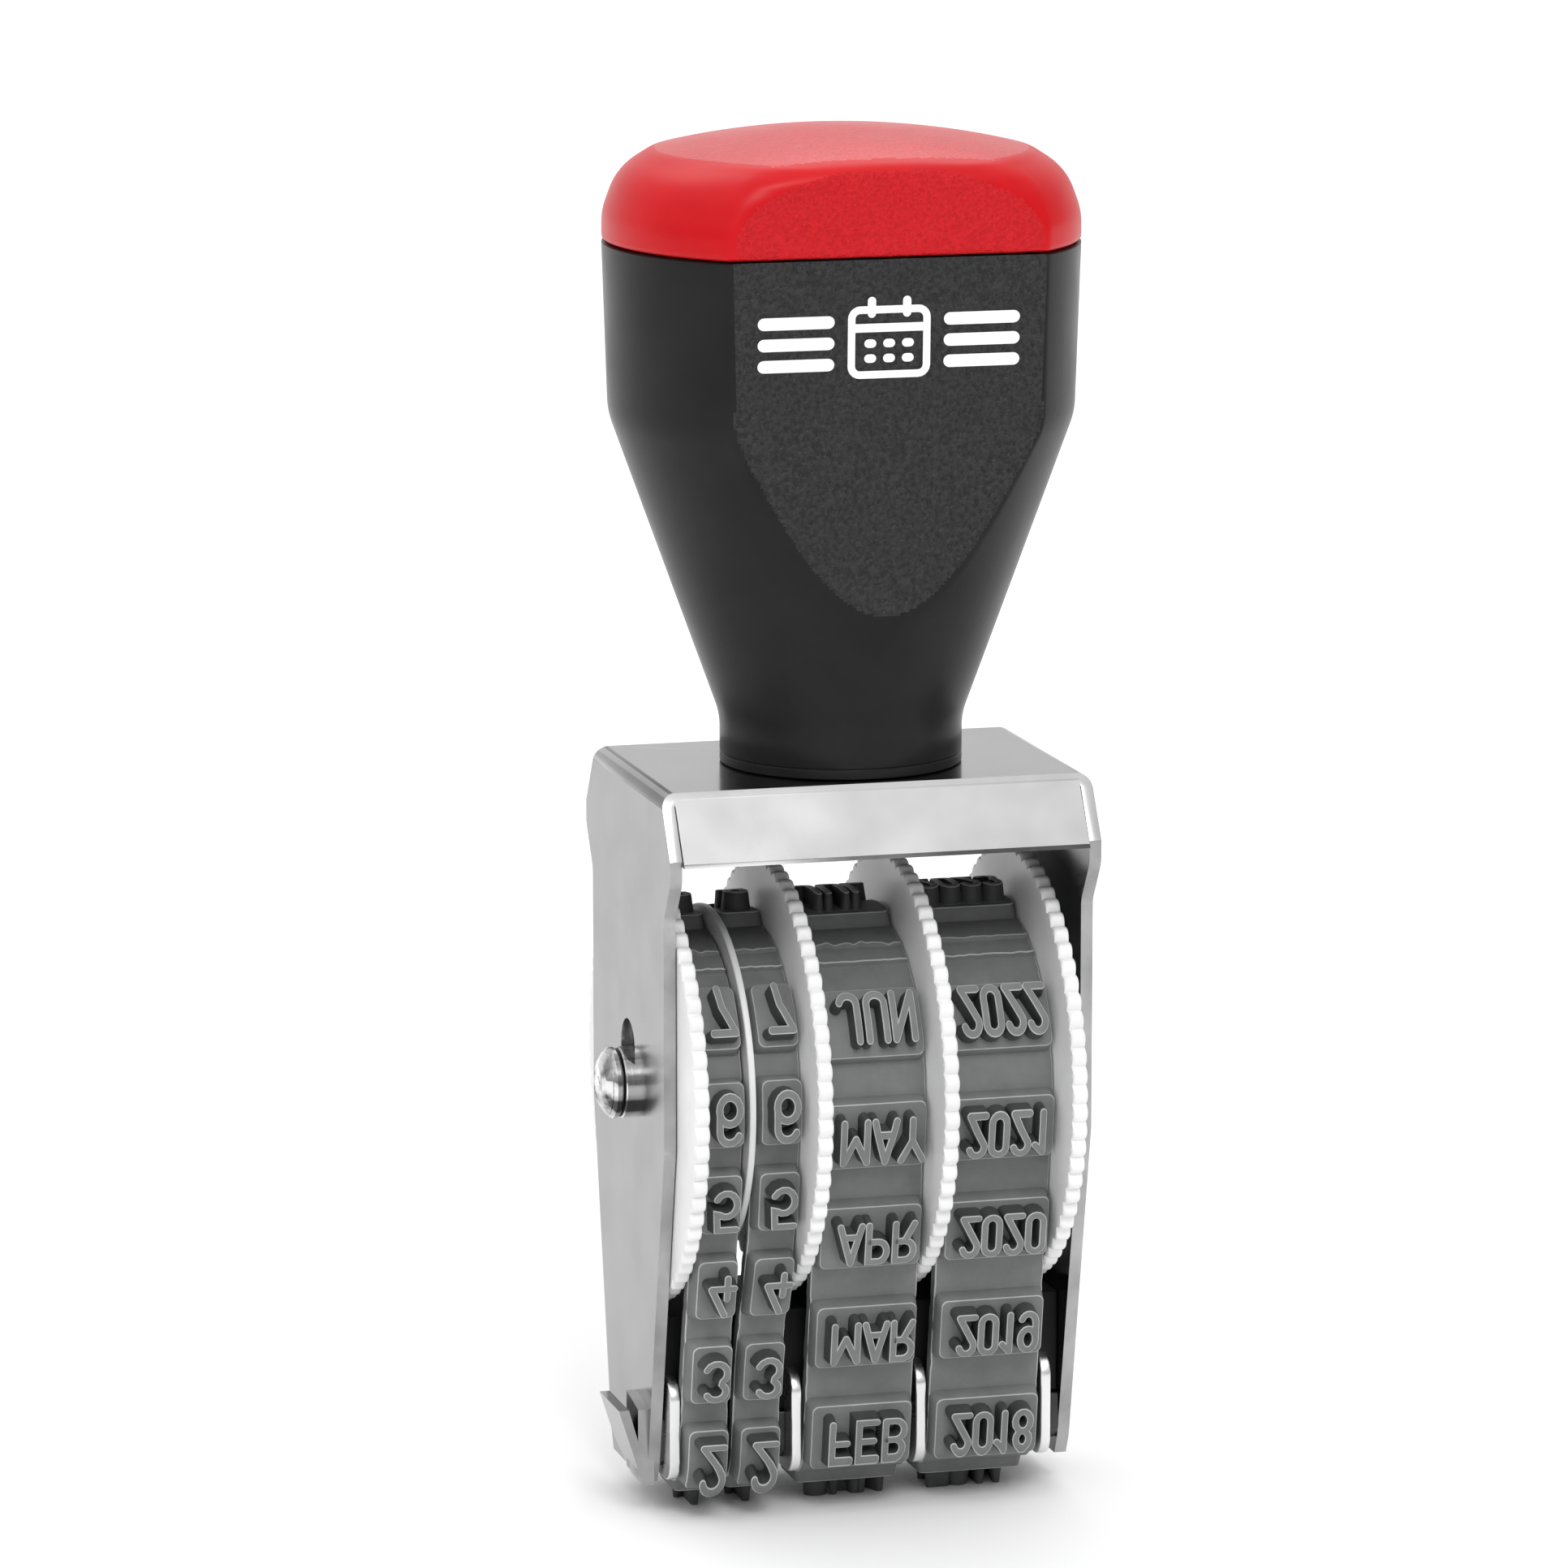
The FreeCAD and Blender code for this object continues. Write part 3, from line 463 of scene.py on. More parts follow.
def cap():
    """The red cap: a low dome whose front and rear roll over into the grip's facets."""
    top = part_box("handle_cap")[1].z - 0.03 * MM
    roll, roll_half, roll_high = 2.2 * MM, FACET_TOP - 0.3 * MM, CAP_BASE + 5.6 * MM
    crown_half, crown_low = 15.55 * MM, CAP_BASE + 7.2 * MM
    crown_drop = top - crown_low
    crown_round = (crown_half ** 2 + crown_drop ** 2) / (2 * crown_drop)
    dome = rounded_profile([
        (GRIP_HALF - 0.25 * MM, CAP_BASE, 0),
        (GRIP_HALF, CAP_BASE + 0.2 * MM, 0.15 * MM),
        (19.38 * MM, CAP_BASE + 2.2 * MM, 5 * MM),
        (18.2 * MM, CAP_BASE + 5.5 * MM, 5 * MM),
        (crown_half, crown_low, 2.5 * MM)]
        + [(r, top - crown_round + math.sqrt(crown_round ** 2 - r ** 2), 0)
           for r in np.linspace(crown_half - 2 * MM, 0, 28)], 10)
    rolled = np.linspace(0, math.radians(62), 30)
    side = roll_half - roll
    over = (side + roll * math.cos(rolled[-1]), roll_high + roll * math.sin(rolled[-1]))
    pillow = np.concatenate([
        [(FACET_TOP - 0.25 * MM, CAP_BASE), (FACET_TOP, CAP_BASE + 0.2 * MM)],
        np.stack([side + roll * np.cos(rolled), roll_high + roll * np.sin(rolled)], 1),
        [(0.0, over[1] + over[0] / math.tan(rolled[-1]))]])
    centre = CAP_BASE
    rows = evenly(dome, 0.3 * MM)[:-1]
    row_angle = np.arctan2(rows[:, 1] - centre, rows[:, 0])
    columns = 480
    turn = np.linspace(0, 2 * math.pi, columns, endpoint=False)
    dome_angle, dome_far = polar(evenly(dome, 0.05 * MM), centre)
    pillow_angle, pillow_far = polar(evenly(pillow, 0.05 * MM), centre)
    level = np.cos(row_angle)[:, None] * np.abs(np.sin(turn))[None]
    rise = np.repeat(np.sin(row_angle)[:, None], columns, 1)
    steep = np.arctan2(rise, level)
    to_pillow = np.interp(steep, pillow_angle, pillow_far) / np.maximum(np.hypot(level, rise), 1e-4)
    to_dome = np.repeat(np.interp(row_angle, dome_angle, dome_far)[:, None], columns, 1)
    climb = np.clip((to_dome * rise - 1.0 * MM) / (4.5 * MM), 0, 1)
    blend = 0.4 * MM + 1.2 * MM * climb * climb
    far = soft_min(to_dome, to_pillow, blend)
    x = far * np.cos(row_angle)[:, None] * np.cos(turn)
    y = far * np.cos(row_angle)[:, None] * np.sin(turn)
    z = centre + far * rise
    points = np.stack([x, y, z], -1).reshape(-1, 3)
    faces = ring_faces(len(rows), columns)
    front = to_pillow < to_dome - 0.8 * blend
    crown = (np.abs(y) < 12.3 * MM) & (np.hypot(x, y) < crown_half - 0.25 * MM)
    finish = np.where(crown & (z > CAP_BASE + 6 * MM), 2, np.where(front, 1, 0))
    marks = [int(finish[f[0] // columns, f[0] % columns]) for f in faces]
    peak = len(points)
    points = np.concatenate([points, [(0, 0, centre + far[-1].max())]])
    last = (len(rows) - 1) * columns
    faces += [(last + i, last + (i + 1) % columns, peak) for i in range(columns)]
    marks += [2] * columns
    faces.append(tuple(range(columns)))
    marks.append(0)
    mesh = mesh_from("cap_shell", points, faces, marks)
    add_piece("cap_shell", mesh, [RED, RED_GRAIN, RED_CROWN], ROOT, ("handle_cap",), 50)


# ---------------------------------------------------------------- raised strokes
CAP_POINTS = 7


def offset_line(path, closed, reach):
    """Points at one side of a path: a mitred offset, to the left for a positive reach."""
    count = len(path)
    sides = []
    for i in range(count):
        before = path[i] - path[i - 1] if (closed or i > 0) else path[1] - path[0]
        after = path[(i + 1) % count] - path[i] if (closed or i < count - 1) else before
        before = before / np.hypot(*before)
        after = after / np.hypot(*after)
        normal = np.array([-(before[1] + after[1]), before[0] + after[0]])
        normal /= max(np.hypot(*normal), 1e-9)
        lean = max(0.42, normal.dot([-before[1], before[0]]))
        sides.append(path[i] + normal * reach / lean)
    return np.array(sides)


def finer(path, closed, longest):
    """The same path with its long runs divided."""
    ends = np.roll(path, -1, axis=0) if closed else path[1:]
    fine = []
    for start, end in zip(path, ends):
        parts = max(1, int(math.ceil(np.hypot(*(end - start)) / longest)))
        fine += [start + (end - start) * k / parts for k in range(parts)]
    if not closed:
        fine.append(path[-1])
    return np.array(fine)


def flank_mark(level, rings):
    """Which rubber a stroke's flank gets: 1, a painted highlight, on its uppermost strip; 2, painted
    shade, on the tall side below that.
    """
    below_top = rings - 2 - level
    return 1 if below_top == 0 else 2 if below_top == 1 and level else 0


def raised_stroke(path, closed, levels, place):
    """A solid ridge along a path. levels are (half width, height) from its foot to its top;
    place maps flat (across, along, height) points to space. Returns points, faces, marks."""
    path = finer(np.asarray(path, float), closed, 0.5 * MM)
    rings = []
    for reach, height in levels:
        left = offset_line(path, closed, reach)
        right = offset_line(path, closed, -reach)
        if closed:
            rings.append((np.concatenate([left, right]), height))
            continue
        ends = []
        for tip, inner, side in ((path[-1], path[-2], left[-1]), (path[0], path[1], right[0])):
            spoke = side - tip
            spoke = spoke / np.hypot(*spoke) * reach
            for k in range(1, CAP_POINTS + 1):
                angle = -math.pi * k / (CAP_POINTS + 1)
                cosine, sine = math.cos(angle), math.sin(angle)
                ends.append(tip + [spoke[0] * cosine - spoke[1] * sine,
                                   spoke[0] * sine + spoke[1] * cosine])
        around = np.concatenate([left, ends[:CAP_POINTS], right[::-1], ends[CAP_POINTS:]])
        rings.append((around, height))
    points = []
    for ring, height in rings:
        points += [place(p[0], p[1], height) for p in ring]
    count = len(path)
    around = len(rings[0][0])
    top = (len(rings) - 1) * around
    marks = [flank_mark(level, len(rings)) for level in range(len(rings) - 1)
             for _ in range(around)]
    if closed:
        faces = []
        for level in range(len(rings) - 1):
            for side in (0, count):
                low = level * around + side
                high = low + around
                for i in range(count):
                    b = (i + 1) % count
                    faces.append((low + i, low + b, high + b, high + i))
        for low in (0, top):
            for i in range(count):
                b = (i + 1) % count
                faces.append((low + i, low + b, low + count + b, low + count + i))
                marks.append(0)
    else:
        faces = ring_faces(len(rings), around)
        rear = count + CAP_POINTS
        for low in (0, top):
            for i in range(count - 1):
                a, b = rear + count - 1 - i, rear + count - 2 - i
                faces.append((low + i, low + i + 1, low + b, low + a))
                marks.append(0)
            faces.append(tuple(low + count - 1 + k for k in range(CAP_POINTS + 2)))
            faces.append(tuple([low + rear + count - 1]
                               + [low + rear + count + k for k in range(CAP_POINTS)] + [low]))
            marks += [0, 0]
    return points, faces, marks


def arc(middle, high, wide, tall, start, end, steps=10):
    """Points of an ellipse's arc; angles in degrees, anticlockwise from the right."""
    return [(middle + wide * math.cos(math.radians(a)), high + tall * math.sin(math.radians(a)))
            for a in np.linspace(start, end, steps + 1)]


def bowl(top_high, low_high, wide=0.2):
    """A closed narrow loop with round ends, as in 0 and 8."""
    return (arc(0, top_high - wide, wide, wide, 0, 180, 8)
            + arc(0, low_high + wide, wide, wide, 180, 360, 8))


# Each character is a list of (closed, points), one unit tall, centred on x = 0.
CHARACTERS = {
    "0": [(True, bowl(1.0, 0.0))],
    "1": [(False, [(-0.16, 0.8), (0.04, 1.0)]), (False, [(0.04, 1.0), (0.04, 0.0)])],
    "2": [(False, arc(0, 0.78, 0.2, 0.22, 165, -20, 9) + [(-0.2, 0.0)]),
          (False, [(-0.2, 0.0), (0.22, 0.0)])],
    "3": [(False, arc(-0.01, 0.77, 0.2, 0.23, 155, -80, 9)[:-1]
           + arc(-0.01, 0.28, 0.22, 0.28, 80, -155, 9)[1:])],
    "4": [(False, [(0.06, 1.0), (-0.22, 0.28)]), (False, [(-0.22, 0.28), (0.24, 0.28)]),
          (False, [(0.1, 0.55), (0.1, 0.0)])],
    "5": [(False, [(0.2, 1.0), (-0.18, 1.0), (-0.2, 0.56)]
           + arc(-0.01, 0.32, 0.22, 0.32, 125, -150, 11))],
    "6": [(True, arc(0, 0.29, 0.21, 0.29, 0, 360, 16)[:-1]),
          (False, [(-0.2, 0.3), (-0.2, 0.72)] + arc(0, 0.74, 0.2, 0.26, 170, 25, 8))],
    "7": [(False, [(-0.22, 1.0), (0.22, 1.0)]), (False, [(0.22, 1.0), (0.0, 0.42), (-0.05, 0.0)])],
    "8": [(True, arc(0, 0.77, 0.18, 0.23, 0, 360, 14)[:-1]),
          (True, arc(0, 0.27, 0.21, 0.27, 0, 360, 14)[:-1])],
    "9": [(True, arc(0, 0.71, 0.21, 0.29, 0, 360, 16)[:-1]),
          (False, [(0.2, 0.7), (0.2, 0.28)] + arc(0, 0.26, 0.2, 0.26, -10, -155, 8))],
    "-": [(False, [(-0.18, 0.5), (0.18, 0.5)])],
    "A": [(False, [(-0.24, 0.0), (0.0, 1.0)]), (False, [(0.0, 1.0), (0.24, 0.0)]),
          (False, [(-0.16, 0.3), (0.16, 0.3)])],
    "B": [(False, [(-0.2, 0.0), (-0.2, 1.0), (0.02, 1.0)] + arc(0.02, 0.76, 0.17, 0.24, 80, -90, 8)
           + [(-0.16, 0.52)]),
          (False, [(-0.16, 0.52), (0.03, 0.52)] + arc(0.03, 0.26, 0.19, 0.26, 80, -90, 8)
           + [(-0.2, 0.0)])],
    "C": [(False, arc(0, 0.8, 0.2, 0.2, 10, 180, 8) + arc(0, 0.2, 0.2, 0.2, 180, 350, 8))],
    "D": [(True, [(-0.2, 0.0), (-0.2, 1.0), (0.0, 1.0)] + arc(0.0, 0.78, 0.21, 0.22, 80, 0, 6)
           + arc(0.0, 0.22, 0.21, 0.22, 0, -90, 6))],
    "E": [(False, [(0.2, 0.0), (-0.2, 0.0), (-0.2, 1.0), (0.2, 1.0)]),
          (False, [(-0.18, 0.52), (0.14, 0.52)])],
    "F": [(False, [(-0.2, 0.0), (-0.2, 1.0), (0.2, 1.0)]), (False, [(-0.18, 0.55), (0.14, 0.55)])],
    "G": [(False, arc(0, 0.8, 0.2, 0.2, 15, 180, 8) + arc(0, 0.2, 0.2, 0.2, 180, 350, 8)
           + [(0.2, 0.46), (0.03, 0.46)])],
    "J": [(False, [(0.16, 1.0), (0.16, 0.2)] + arc(-0.03, 0.2, 0.19, 0.2, -10, -165, 8))],
    "L": [(False, [(-0.18, 1.0), (-0.18, 0.0), (0.2, 0.0)])],
    "M": [(False, [(-0.26, 0.0), (-0.26, 1.0)]), (False, [(-0.26, 1.0), (0.0, 0.36)]),
          (False, [(0.0, 0.36), (0.26, 1.0)]), (False, [(0.26, 1.0), (0.26, 0.0)])],
    "N": [(False, [(-0.21, 0.0), (-0.21, 1.0)]), (False, [(-0.21, 1.0), (0.21, 0.0)]),
          (False, [(0.21, 0.0), (0.21, 1.0)])],
    "O": [(True, bowl(1.0, 0.0, 0.21))],
    "P": [(False, [(-0.2, 0.0), (-0.2, 1.0), (0.02, 1.0)] + arc(0.02, 0.73, 0.19, 0.27, 80, -90, 9)
           + [(-0.16, 0.46)])],
    "R": [(False, [(-0.2, 0.0), (-0.2, 1.0), (0.02, 1.0)] + arc(0.02, 0.74, 0.19, 0.26, 80, -90, 9)
           + [(-0.16, 0.48)]), (False, [(0.02, 0.46), (0.22, 0.0)])],
    "S": [(False, arc(0.0, 0.77, 0.2, 0.23, 20, 230, 9)
           + arc(0.0, 0.26, 0.21, 0.26, 50, -160, 9))],
    "T": [(False, [(-0.23, 1.0), (0.23, 1.0)]), (False, [(0.0, 0.96), (0.0, 0.0)])],
    "U": [(False, [(-0.2, 1.0), (-0.2, 0.2)] + arc(0, 0.2, 0.2, 0.2, 190, 350, 9) + [(0.2, 1.0)])],
    "V": [(False, [(-0.23, 1.0), (0.0, 0.0)]), (False, [(0.0, 0.0), (0.23, 1.0)])],
    "Y": [(False, [(-0.24, 1.0), (0.0, 0.48)]), (False, [(0.24, 1.0), (0.0, 0.48)]),
          (False, [(0.0, 0.5), (0.0, 0.0)])],
}
ADVANCE = {"1": 0.5, "M": 0.74, "J": 0.56}
USUAL_ADVANCE = 0.6


# ---------------------------------------------------------------- bands
AXLE_HIGH = (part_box("axle")[0].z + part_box("axle")[1].z) / 2
HUB_WRAP = 12.65 * MM
BAND_SHEET = 1.2 * MM
CORNER = 3.1 * MM
FLAT_HALF = 4.9 * MM
BAND_LOW = 2.65 * MM
BLOCK_RISE = 1.15 * MM
TYPE_TOP = 2.65 * MM
RIDGES = (51.7 * MM, 53.8 * MM)
FIRST_SYMBOL = 2.1 * MM
DAY_PITCH = 7.46 * MM
WORD_PITCH = 8.74 * MM
TYPE_TALL = 3.75 * MM

CORNER_HIGH = BAND_LOW + CORNER
SPAN = math.hypot(FLAT_HALF, AXLE_HIGH - CORNER_HIGH)
LEAN = math.asin((HUB_WRAP - CORNER) / SPAN) - math.atan2(FLAT_HALF, AXLE_HIGH - CORNER_HIGH)
SIDE_RUN = math.sqrt(SPAN ** 2 - (HUB_WRAP - CORNER) ** 2)
CORNER_RUN = CORNER * (math.pi / 2 - LEAN)
HALF_LOOP = FLAT_HALF + CORNER_RUN + SIDE_RUN + HUB_WRAP * (math.pi / 2 + LEAN)


def loop_spot(travel):
    """Point (y, z) and outward normal of a band's outer surface: travel is the way along it
    from the middle of the anvil, up the front."""
    travel = travel % (2 * HALF_LOOP)
    side = -1.0
    if travel > HALF_LOOP:
        travel = 2 * HALF_LOOP - travel
        side = 1.0
    if travel <= FLAT_HALF:
        spot, normal = (travel, BAND_LOW), (0.0, -1.0)
    elif travel <= FLAT_HALF + CORNER_RUN:
        turn = (travel - FLAT_HALF) / CORNER
        normal = (math.sin(turn), -math.cos(turn))
        spot = (FLAT_HALF + CORNER * normal[0], CORNER_HIGH + CORNER * normal[1])
    elif travel <= FLAT_HALF + CORNER_RUN + SIDE_RUN:
        run = travel - FLAT_HALF - CORNER_RUN
        normal = (math.cos(LEAN), -math.sin(LEAN))
        spot = (FLAT_HALF + CORNER * normal[0] + run * math.sin(LEAN),
                CORNER_HIGH + CORNER * normal[1] + run * math.cos(LEAN))
    else:
        turn = (travel - FLAT_HALF - CORNER_RUN - SIDE_RUN) / HUB_WRAP - LEAN
        normal = (math.cos(turn), math.sin(turn))
        spot = (HUB_WRAP * normal[0], AXLE_HIGH + HUB_WRAP * normal[1])
    return (side * spot[0], spot[1]), (side * normal[0], normal[1])


def on_band(x, travel, height, drift=0.0):
    """A point in space for a point of the unrolled band, which may drift sideways as it runs
    down from the hub to the anvil."""
    spot, normal = loop_spot(travel)
    low = min(max((26 * MM - spot[1]) / (14 * MM), 0.0), 1.0)
    low = low * low * (3 - 2 * low)
    return (x + drift * low, spot[0] + height * normal[0], spot[1] + height * normal[1])


class Parts:
    """Points, faces and marks gathered from several shapes of one band or print."""

    def __init__(self, drift=0.0):
        self.points, self.faces, self.marks = [], [], []
        self.drift = drift

    def add(self, points, faces, marks):
        start = len(self.points)
        self.points += [tuple(p) for p in points]
        self.faces += [tuple(i + start for i in face) for face in faces]
        self.marks += marks


def band_loop(parts, left, right, seed):
    """The endless strip itself, with slightly ragged cut edges."""
    rows = 420
    edge = 0.1 * MM
    section = [(left + edge, 0.0), (right - edge, 0.0), (right, -edge),
               (right, edge - BAND_SHEET), (right - edge, -BAND_SHEET),
               (left + edge, -BAND_SHEET), (left, edge - BAND_SHEET), (left, -edge)]
    points = []
    for row in range(rows):
        travel = 2 * HALF_LOOP * row / rows
        for x, height in section:
            side = -1 if x < (left + right) / 2 else 1
            rag = noise.noise(Vector((travel * 900, seed * 7.3 + side * 3.1, height * 600)))
            x_ragged = x - side * max(0.0, rag) * 0.12 * MM
            points.append(on_band(x_ragged, travel, height, parts.drift))
    # mark 1 on the chamfers at the top edges: painted highlight
    marks = [0, 1, 0, 0, 0, 0, 0, 1] * rows
    parts.add(points, ring_faces(rows, len(section), endless=True), marks)


def band_block(parts, left, right, travel, tall, drafts, corner):
    """A pad on the band: round corners, sides that slope in by the left, right and upright
    drafts, and a fine rim on top with a painted highlight."""
    rim = 0.07 * MM
    levels = [(0.0, 0.0, -0.3 * MM), grey(0.0), (1.0, 0.0, BLOCK_RISE - rim),
              (1.0, rim, BLOCK_RISE)]
    turns = np.linspace(0, math.pi / 2, 6)
    inner_rows = np.linspace(-1, 1, 11)[1:-1]
    points = []
    for share, more, height in levels:
        low_x = left + share * drafts[0] + more
        high_x = right - share * drafts[1] - more
        middle, half_wide = (low_x + high_x) / 2, (high_x - low_x) / 2
        half_tall = tall / 2 - share * drafts[2] - more
        radius = corner - 0.3 * more
        rows = [(-half_tall + radius * (1 - math.cos(t)), half_wide - radius * (1 - math.sin(t)))
                for t in turns]
        rows += [(part * (half_tall - radius), half_wide) for part in inner_rows]
        rows += [(-up, wide) for up, wide in rows[:len(turns)][::-1]]
        around = [(middle - wide, up) for up, wide in rows]
        around += [(middle + wide, up) for up, wide in reversed(rows)]
        points += [on_band(x, travel + up, height, parts.drift) for x, up in around]
    ring = len(around)
    faces = ring_faces(len(levels), ring)
    # the rim gets mark 1: painted highlight
    marks = [0] * (ring * (len(levels) - 2)) + [1] * ring
    half = ring // 2
    for low in (0, (len(levels) - 1) * ring):
        for i in range(half - 1):
            faces.append((low + i, low + i + 1, low + ring - 2 - i, low + ring - 1 - i))
            marks.append(0)
    parts.add(points, faces, marks)


# each stroke is this much lower than the one before it, so that no two tops share a plane
STROKE_STEP = 2e-6
TYPE_LEVELS = [(0.5 * MM, BLOCK_RISE - 0.25 * MM), (0.46 * MM, BLOCK_RISE + 0.05 * MM),
               (0.29 * MM, TYPE_TOP - 0.06 * MM), (0.22 * MM, TYPE_TOP)]


def band_word(parts, word, middle, travel, tall, wide_scale):
    """Raised characters. They stand on their heads on the front, so that they print upright."""
    steps = [ADVANCE.get(letter, USUAL_ADVANCE) * tall * wide_scale for letter in word]
    start = middle - sum(steps) / 2
    stroke = 2 * TYPE_LEVELS[-2][0]
    body = tall - stroke
    strokes = 0
    for letter, step in zip(word, steps):
        centre = start + step / 2
        start += step
        for closed, outline in CHARACTERS[letter]:
            path = np.array([(centre + x * tall * wide_scale, (y - 0.5) * body)
                             for x, y in outline])
            strokes += 1

            def place(x, y, height, drop=strokes * STROKE_STEP):
                return on_band(x, travel - y, height - drop, parts.drift)

            parts.add(*raised_stroke(path, closed, TYPE_LEVELS, place))


def ridge(parts, left, right, travel, seed, torn):
    """A thin moulded line across the band, more or less torn along its length."""
    half = 0.16 * MM
    rows = 40
    points = []
    for i in range(rows + 1):
        x = left + (right - left) * i / rows
        wobble = noise.noise(Vector((x * 1400, seed * 5.1, 0))) * 0.12 * MM * torn
        for along, height in ((-half * 1.6, -0.1 * MM), (-half * 0.5, 0.3 * MM + wobble * 0.5),
                              (half * 0.5, 0.3 * MM + wobble * 0.5), (half * 1.6, -0.1 * MM)):
            points.append(on_band(x, travel + along + wobble * 0.6, height, parts.drift))
    faces = ring_faces(rows + 1, 4)
    faces += [(0, 1, 2, 3), tuple(rows * 4 + j for j in range(4))]
    # mark 1 on the ridge's top: painted highlight
    marks = [0, 1, 0, 0] * rows + [0, 0]
    parts.add(points, faces, marks)


def band(node, words, front_last, pitch, block_tall, drafts, type_wide, shift, seed, drift=0.0):
    """One printing band: words go from the bottom one up the front, then on round the rear."""
    low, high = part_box(node)
    left, right = low.x, high.x
    parts = Parts(drift)
    band_loop(parts, left, right, seed)
    margin = 0.05 * MM
    for number, word in enumerate(words):
        steps = number if number <= front_last else number - len(words)
        if not word:
            continue
        travel = FIRST_SYMBOL + steps * pitch
        band_block(parts, left + margin, right - margin, travel, block_tall, drafts, 0.55 * MM)
        band_word(parts, word, (left + right) / 2 + shift, travel, TYPE_TALL, type_wide)
    for number, travel in enumerate(RIDGES):
        torn = 3.5 if number and seed % 2 == 0 else 1.0
        ridge(parts, left + 0.1 * MM, right - 0.1 * MM, travel, seed + number, torn)
    mesh = mesh_from(node + "_rubber", parts.points, parts.faces, parts.marks)
    add_piece(node + "_rubber", mesh, [RUBBER, RUBBER_EDGE_HIGHLIGHT, RUBBER_SIDE_SHADE], ROOT,
              (node,), 35)


def bands():
    """The four bands: two for the day's digits, one of months and one of years."""
    days = list("1234567890") + ["-", "-", "-", "-", ""]
    months = ["JAN", "FEB", "MAR", "APR", "MAY", "JUN", "JUL", "AUG", "SEP", "OCT", "NOV", "DEC",
              ""]
    years = [str(2017 + i) for i in range(12)] + [""]
    for number, (name, drift) in enumerate((("tens", -0.22 * MM), ("units", -0.65 * MM))):
        band("band_day_" + name, days, 6, DAY_PITCH, 5.7 * MM, (0.42 * MM, 0.1 * MM, 0.35 * MM),
             1.1, 0.22 * MM, number, drift)
    band("band_month", months, 5, WORD_PITCH, 6.0 * MM, (0.3 * MM, 0.22 * MM, 0.35 * MM),
         1.0, 0.2 * MM, 2)
    band("band_year", years, 5, WORD_PITCH, 5.8 * MM, (0.3 * MM, 0.15 * MM, 0.35 * MM),
         0.825, 0.15 * MM, 3)


# ---------------------------------------------------------------- setting wheels
RIM_WIDE = 1.2 * MM
TENS_RIM_WIDE = 1.15 * MM


def toothed_wheel(node, rim_left, rim_right, hub_end, body):
    """A finger wheel: rounded teeth round the rim, a smooth face, and the drum on one side."""
    low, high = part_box(node)
    tip = (high.z - low.z) / 2
    depth = 0.5 * MM
    bore = 3.0 * MM
    hub = 11.2 * MM
    teeth = 72
    per_tooth = 14
    columns = teeth * per_tooth
    soft = 0.16 * MM
    hub_side = 1 if hub_end > rim_right else -1
    hub_start = rim_right if hub_side > 0 else rim_left
    plain = rim_left if hub_side > 0 else rim_right
    inward = (rim_left + rim_right) / 2
    # (x, radius, share of the tooth shape, 0 to 1)
    rings = [
        (plain, bore + 0.2 * MM, 0), (plain, tip - 2.0 * MM, 0), (plain, tip - depth - soft * 2, 0),
        (plain, tip - soft * 1.1, 1), (plain + (inward - plain) * 0.2, tip - soft * 0.25, 1),
        (plain + (inward - plain) * 0.45, tip, 1), (hub_start + (inward - hub_start) * 0.45, tip, 1),
        (hub_start + (inward - hub_start) * 0.2, tip - soft * 0.25, 1),
        (hub_start, tip - soft * 1.1, 1), (hub_start, tip - depth - soft * 2, 0),
        (hub_start, tip - 2.0 * MM, 0), (hub_start, hub + 0.25 * MM, 0),
        (hub_start + hub_side * 0.2 * MM, hub, 0), (hub_end - hub_side * 0.15 * MM, hub, 0),
        (hub_end, hub - 0.15 * MM, 0), (hub_end, bore + 0.2 * MM, 0),
        (hub_end - hub_side * 0.2 * MM, bore, 0), (plain + hub_side * 0.2 * MM, bore, 0)]
    turn = 2 * math.pi * np.arange(columns) / columns
    phase = (np.arange(columns) / per_tooth) % 1.0
    valley = 1 - np.sin(math.pi * phase) ** 0.9
    points = []
    for x, radius, share in rings:
        reach = radius - share * depth * valley
        points.append(np.stack([np.full(columns, x), reach * np.cos(turn),
                                AXLE_HIGH + reach * np.sin(turn)], 1))
    points = np.concatenate(points)
    faces = ring_faces(len(rings), columns, endless=True)
    mesh = mesh_from(node + "_moulding", points, faces)
    add_piece(node + "_moulding", mesh, [WHITE], body, (node,), 42)


def wheels():
    """The four setting wheels; each rim's place is read from its CAD node."""
    for name, hub_right in (("day_tens", True), ("day_units", False), ("month", False),
                            ("year", False)):
        node = "setting_wheel_" + name
        low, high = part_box(node)
        wide = TENS_RIM_WIDE if name == "day_tens" else RIM_WIDE
        if hub_right:
            toothed_wheel(node, low.x, low.x + wide, high.x, "wheel_" + name)
        else:
            toothed_wheel(node, high.x - wide, high.x, low.x, "wheel_" + name)


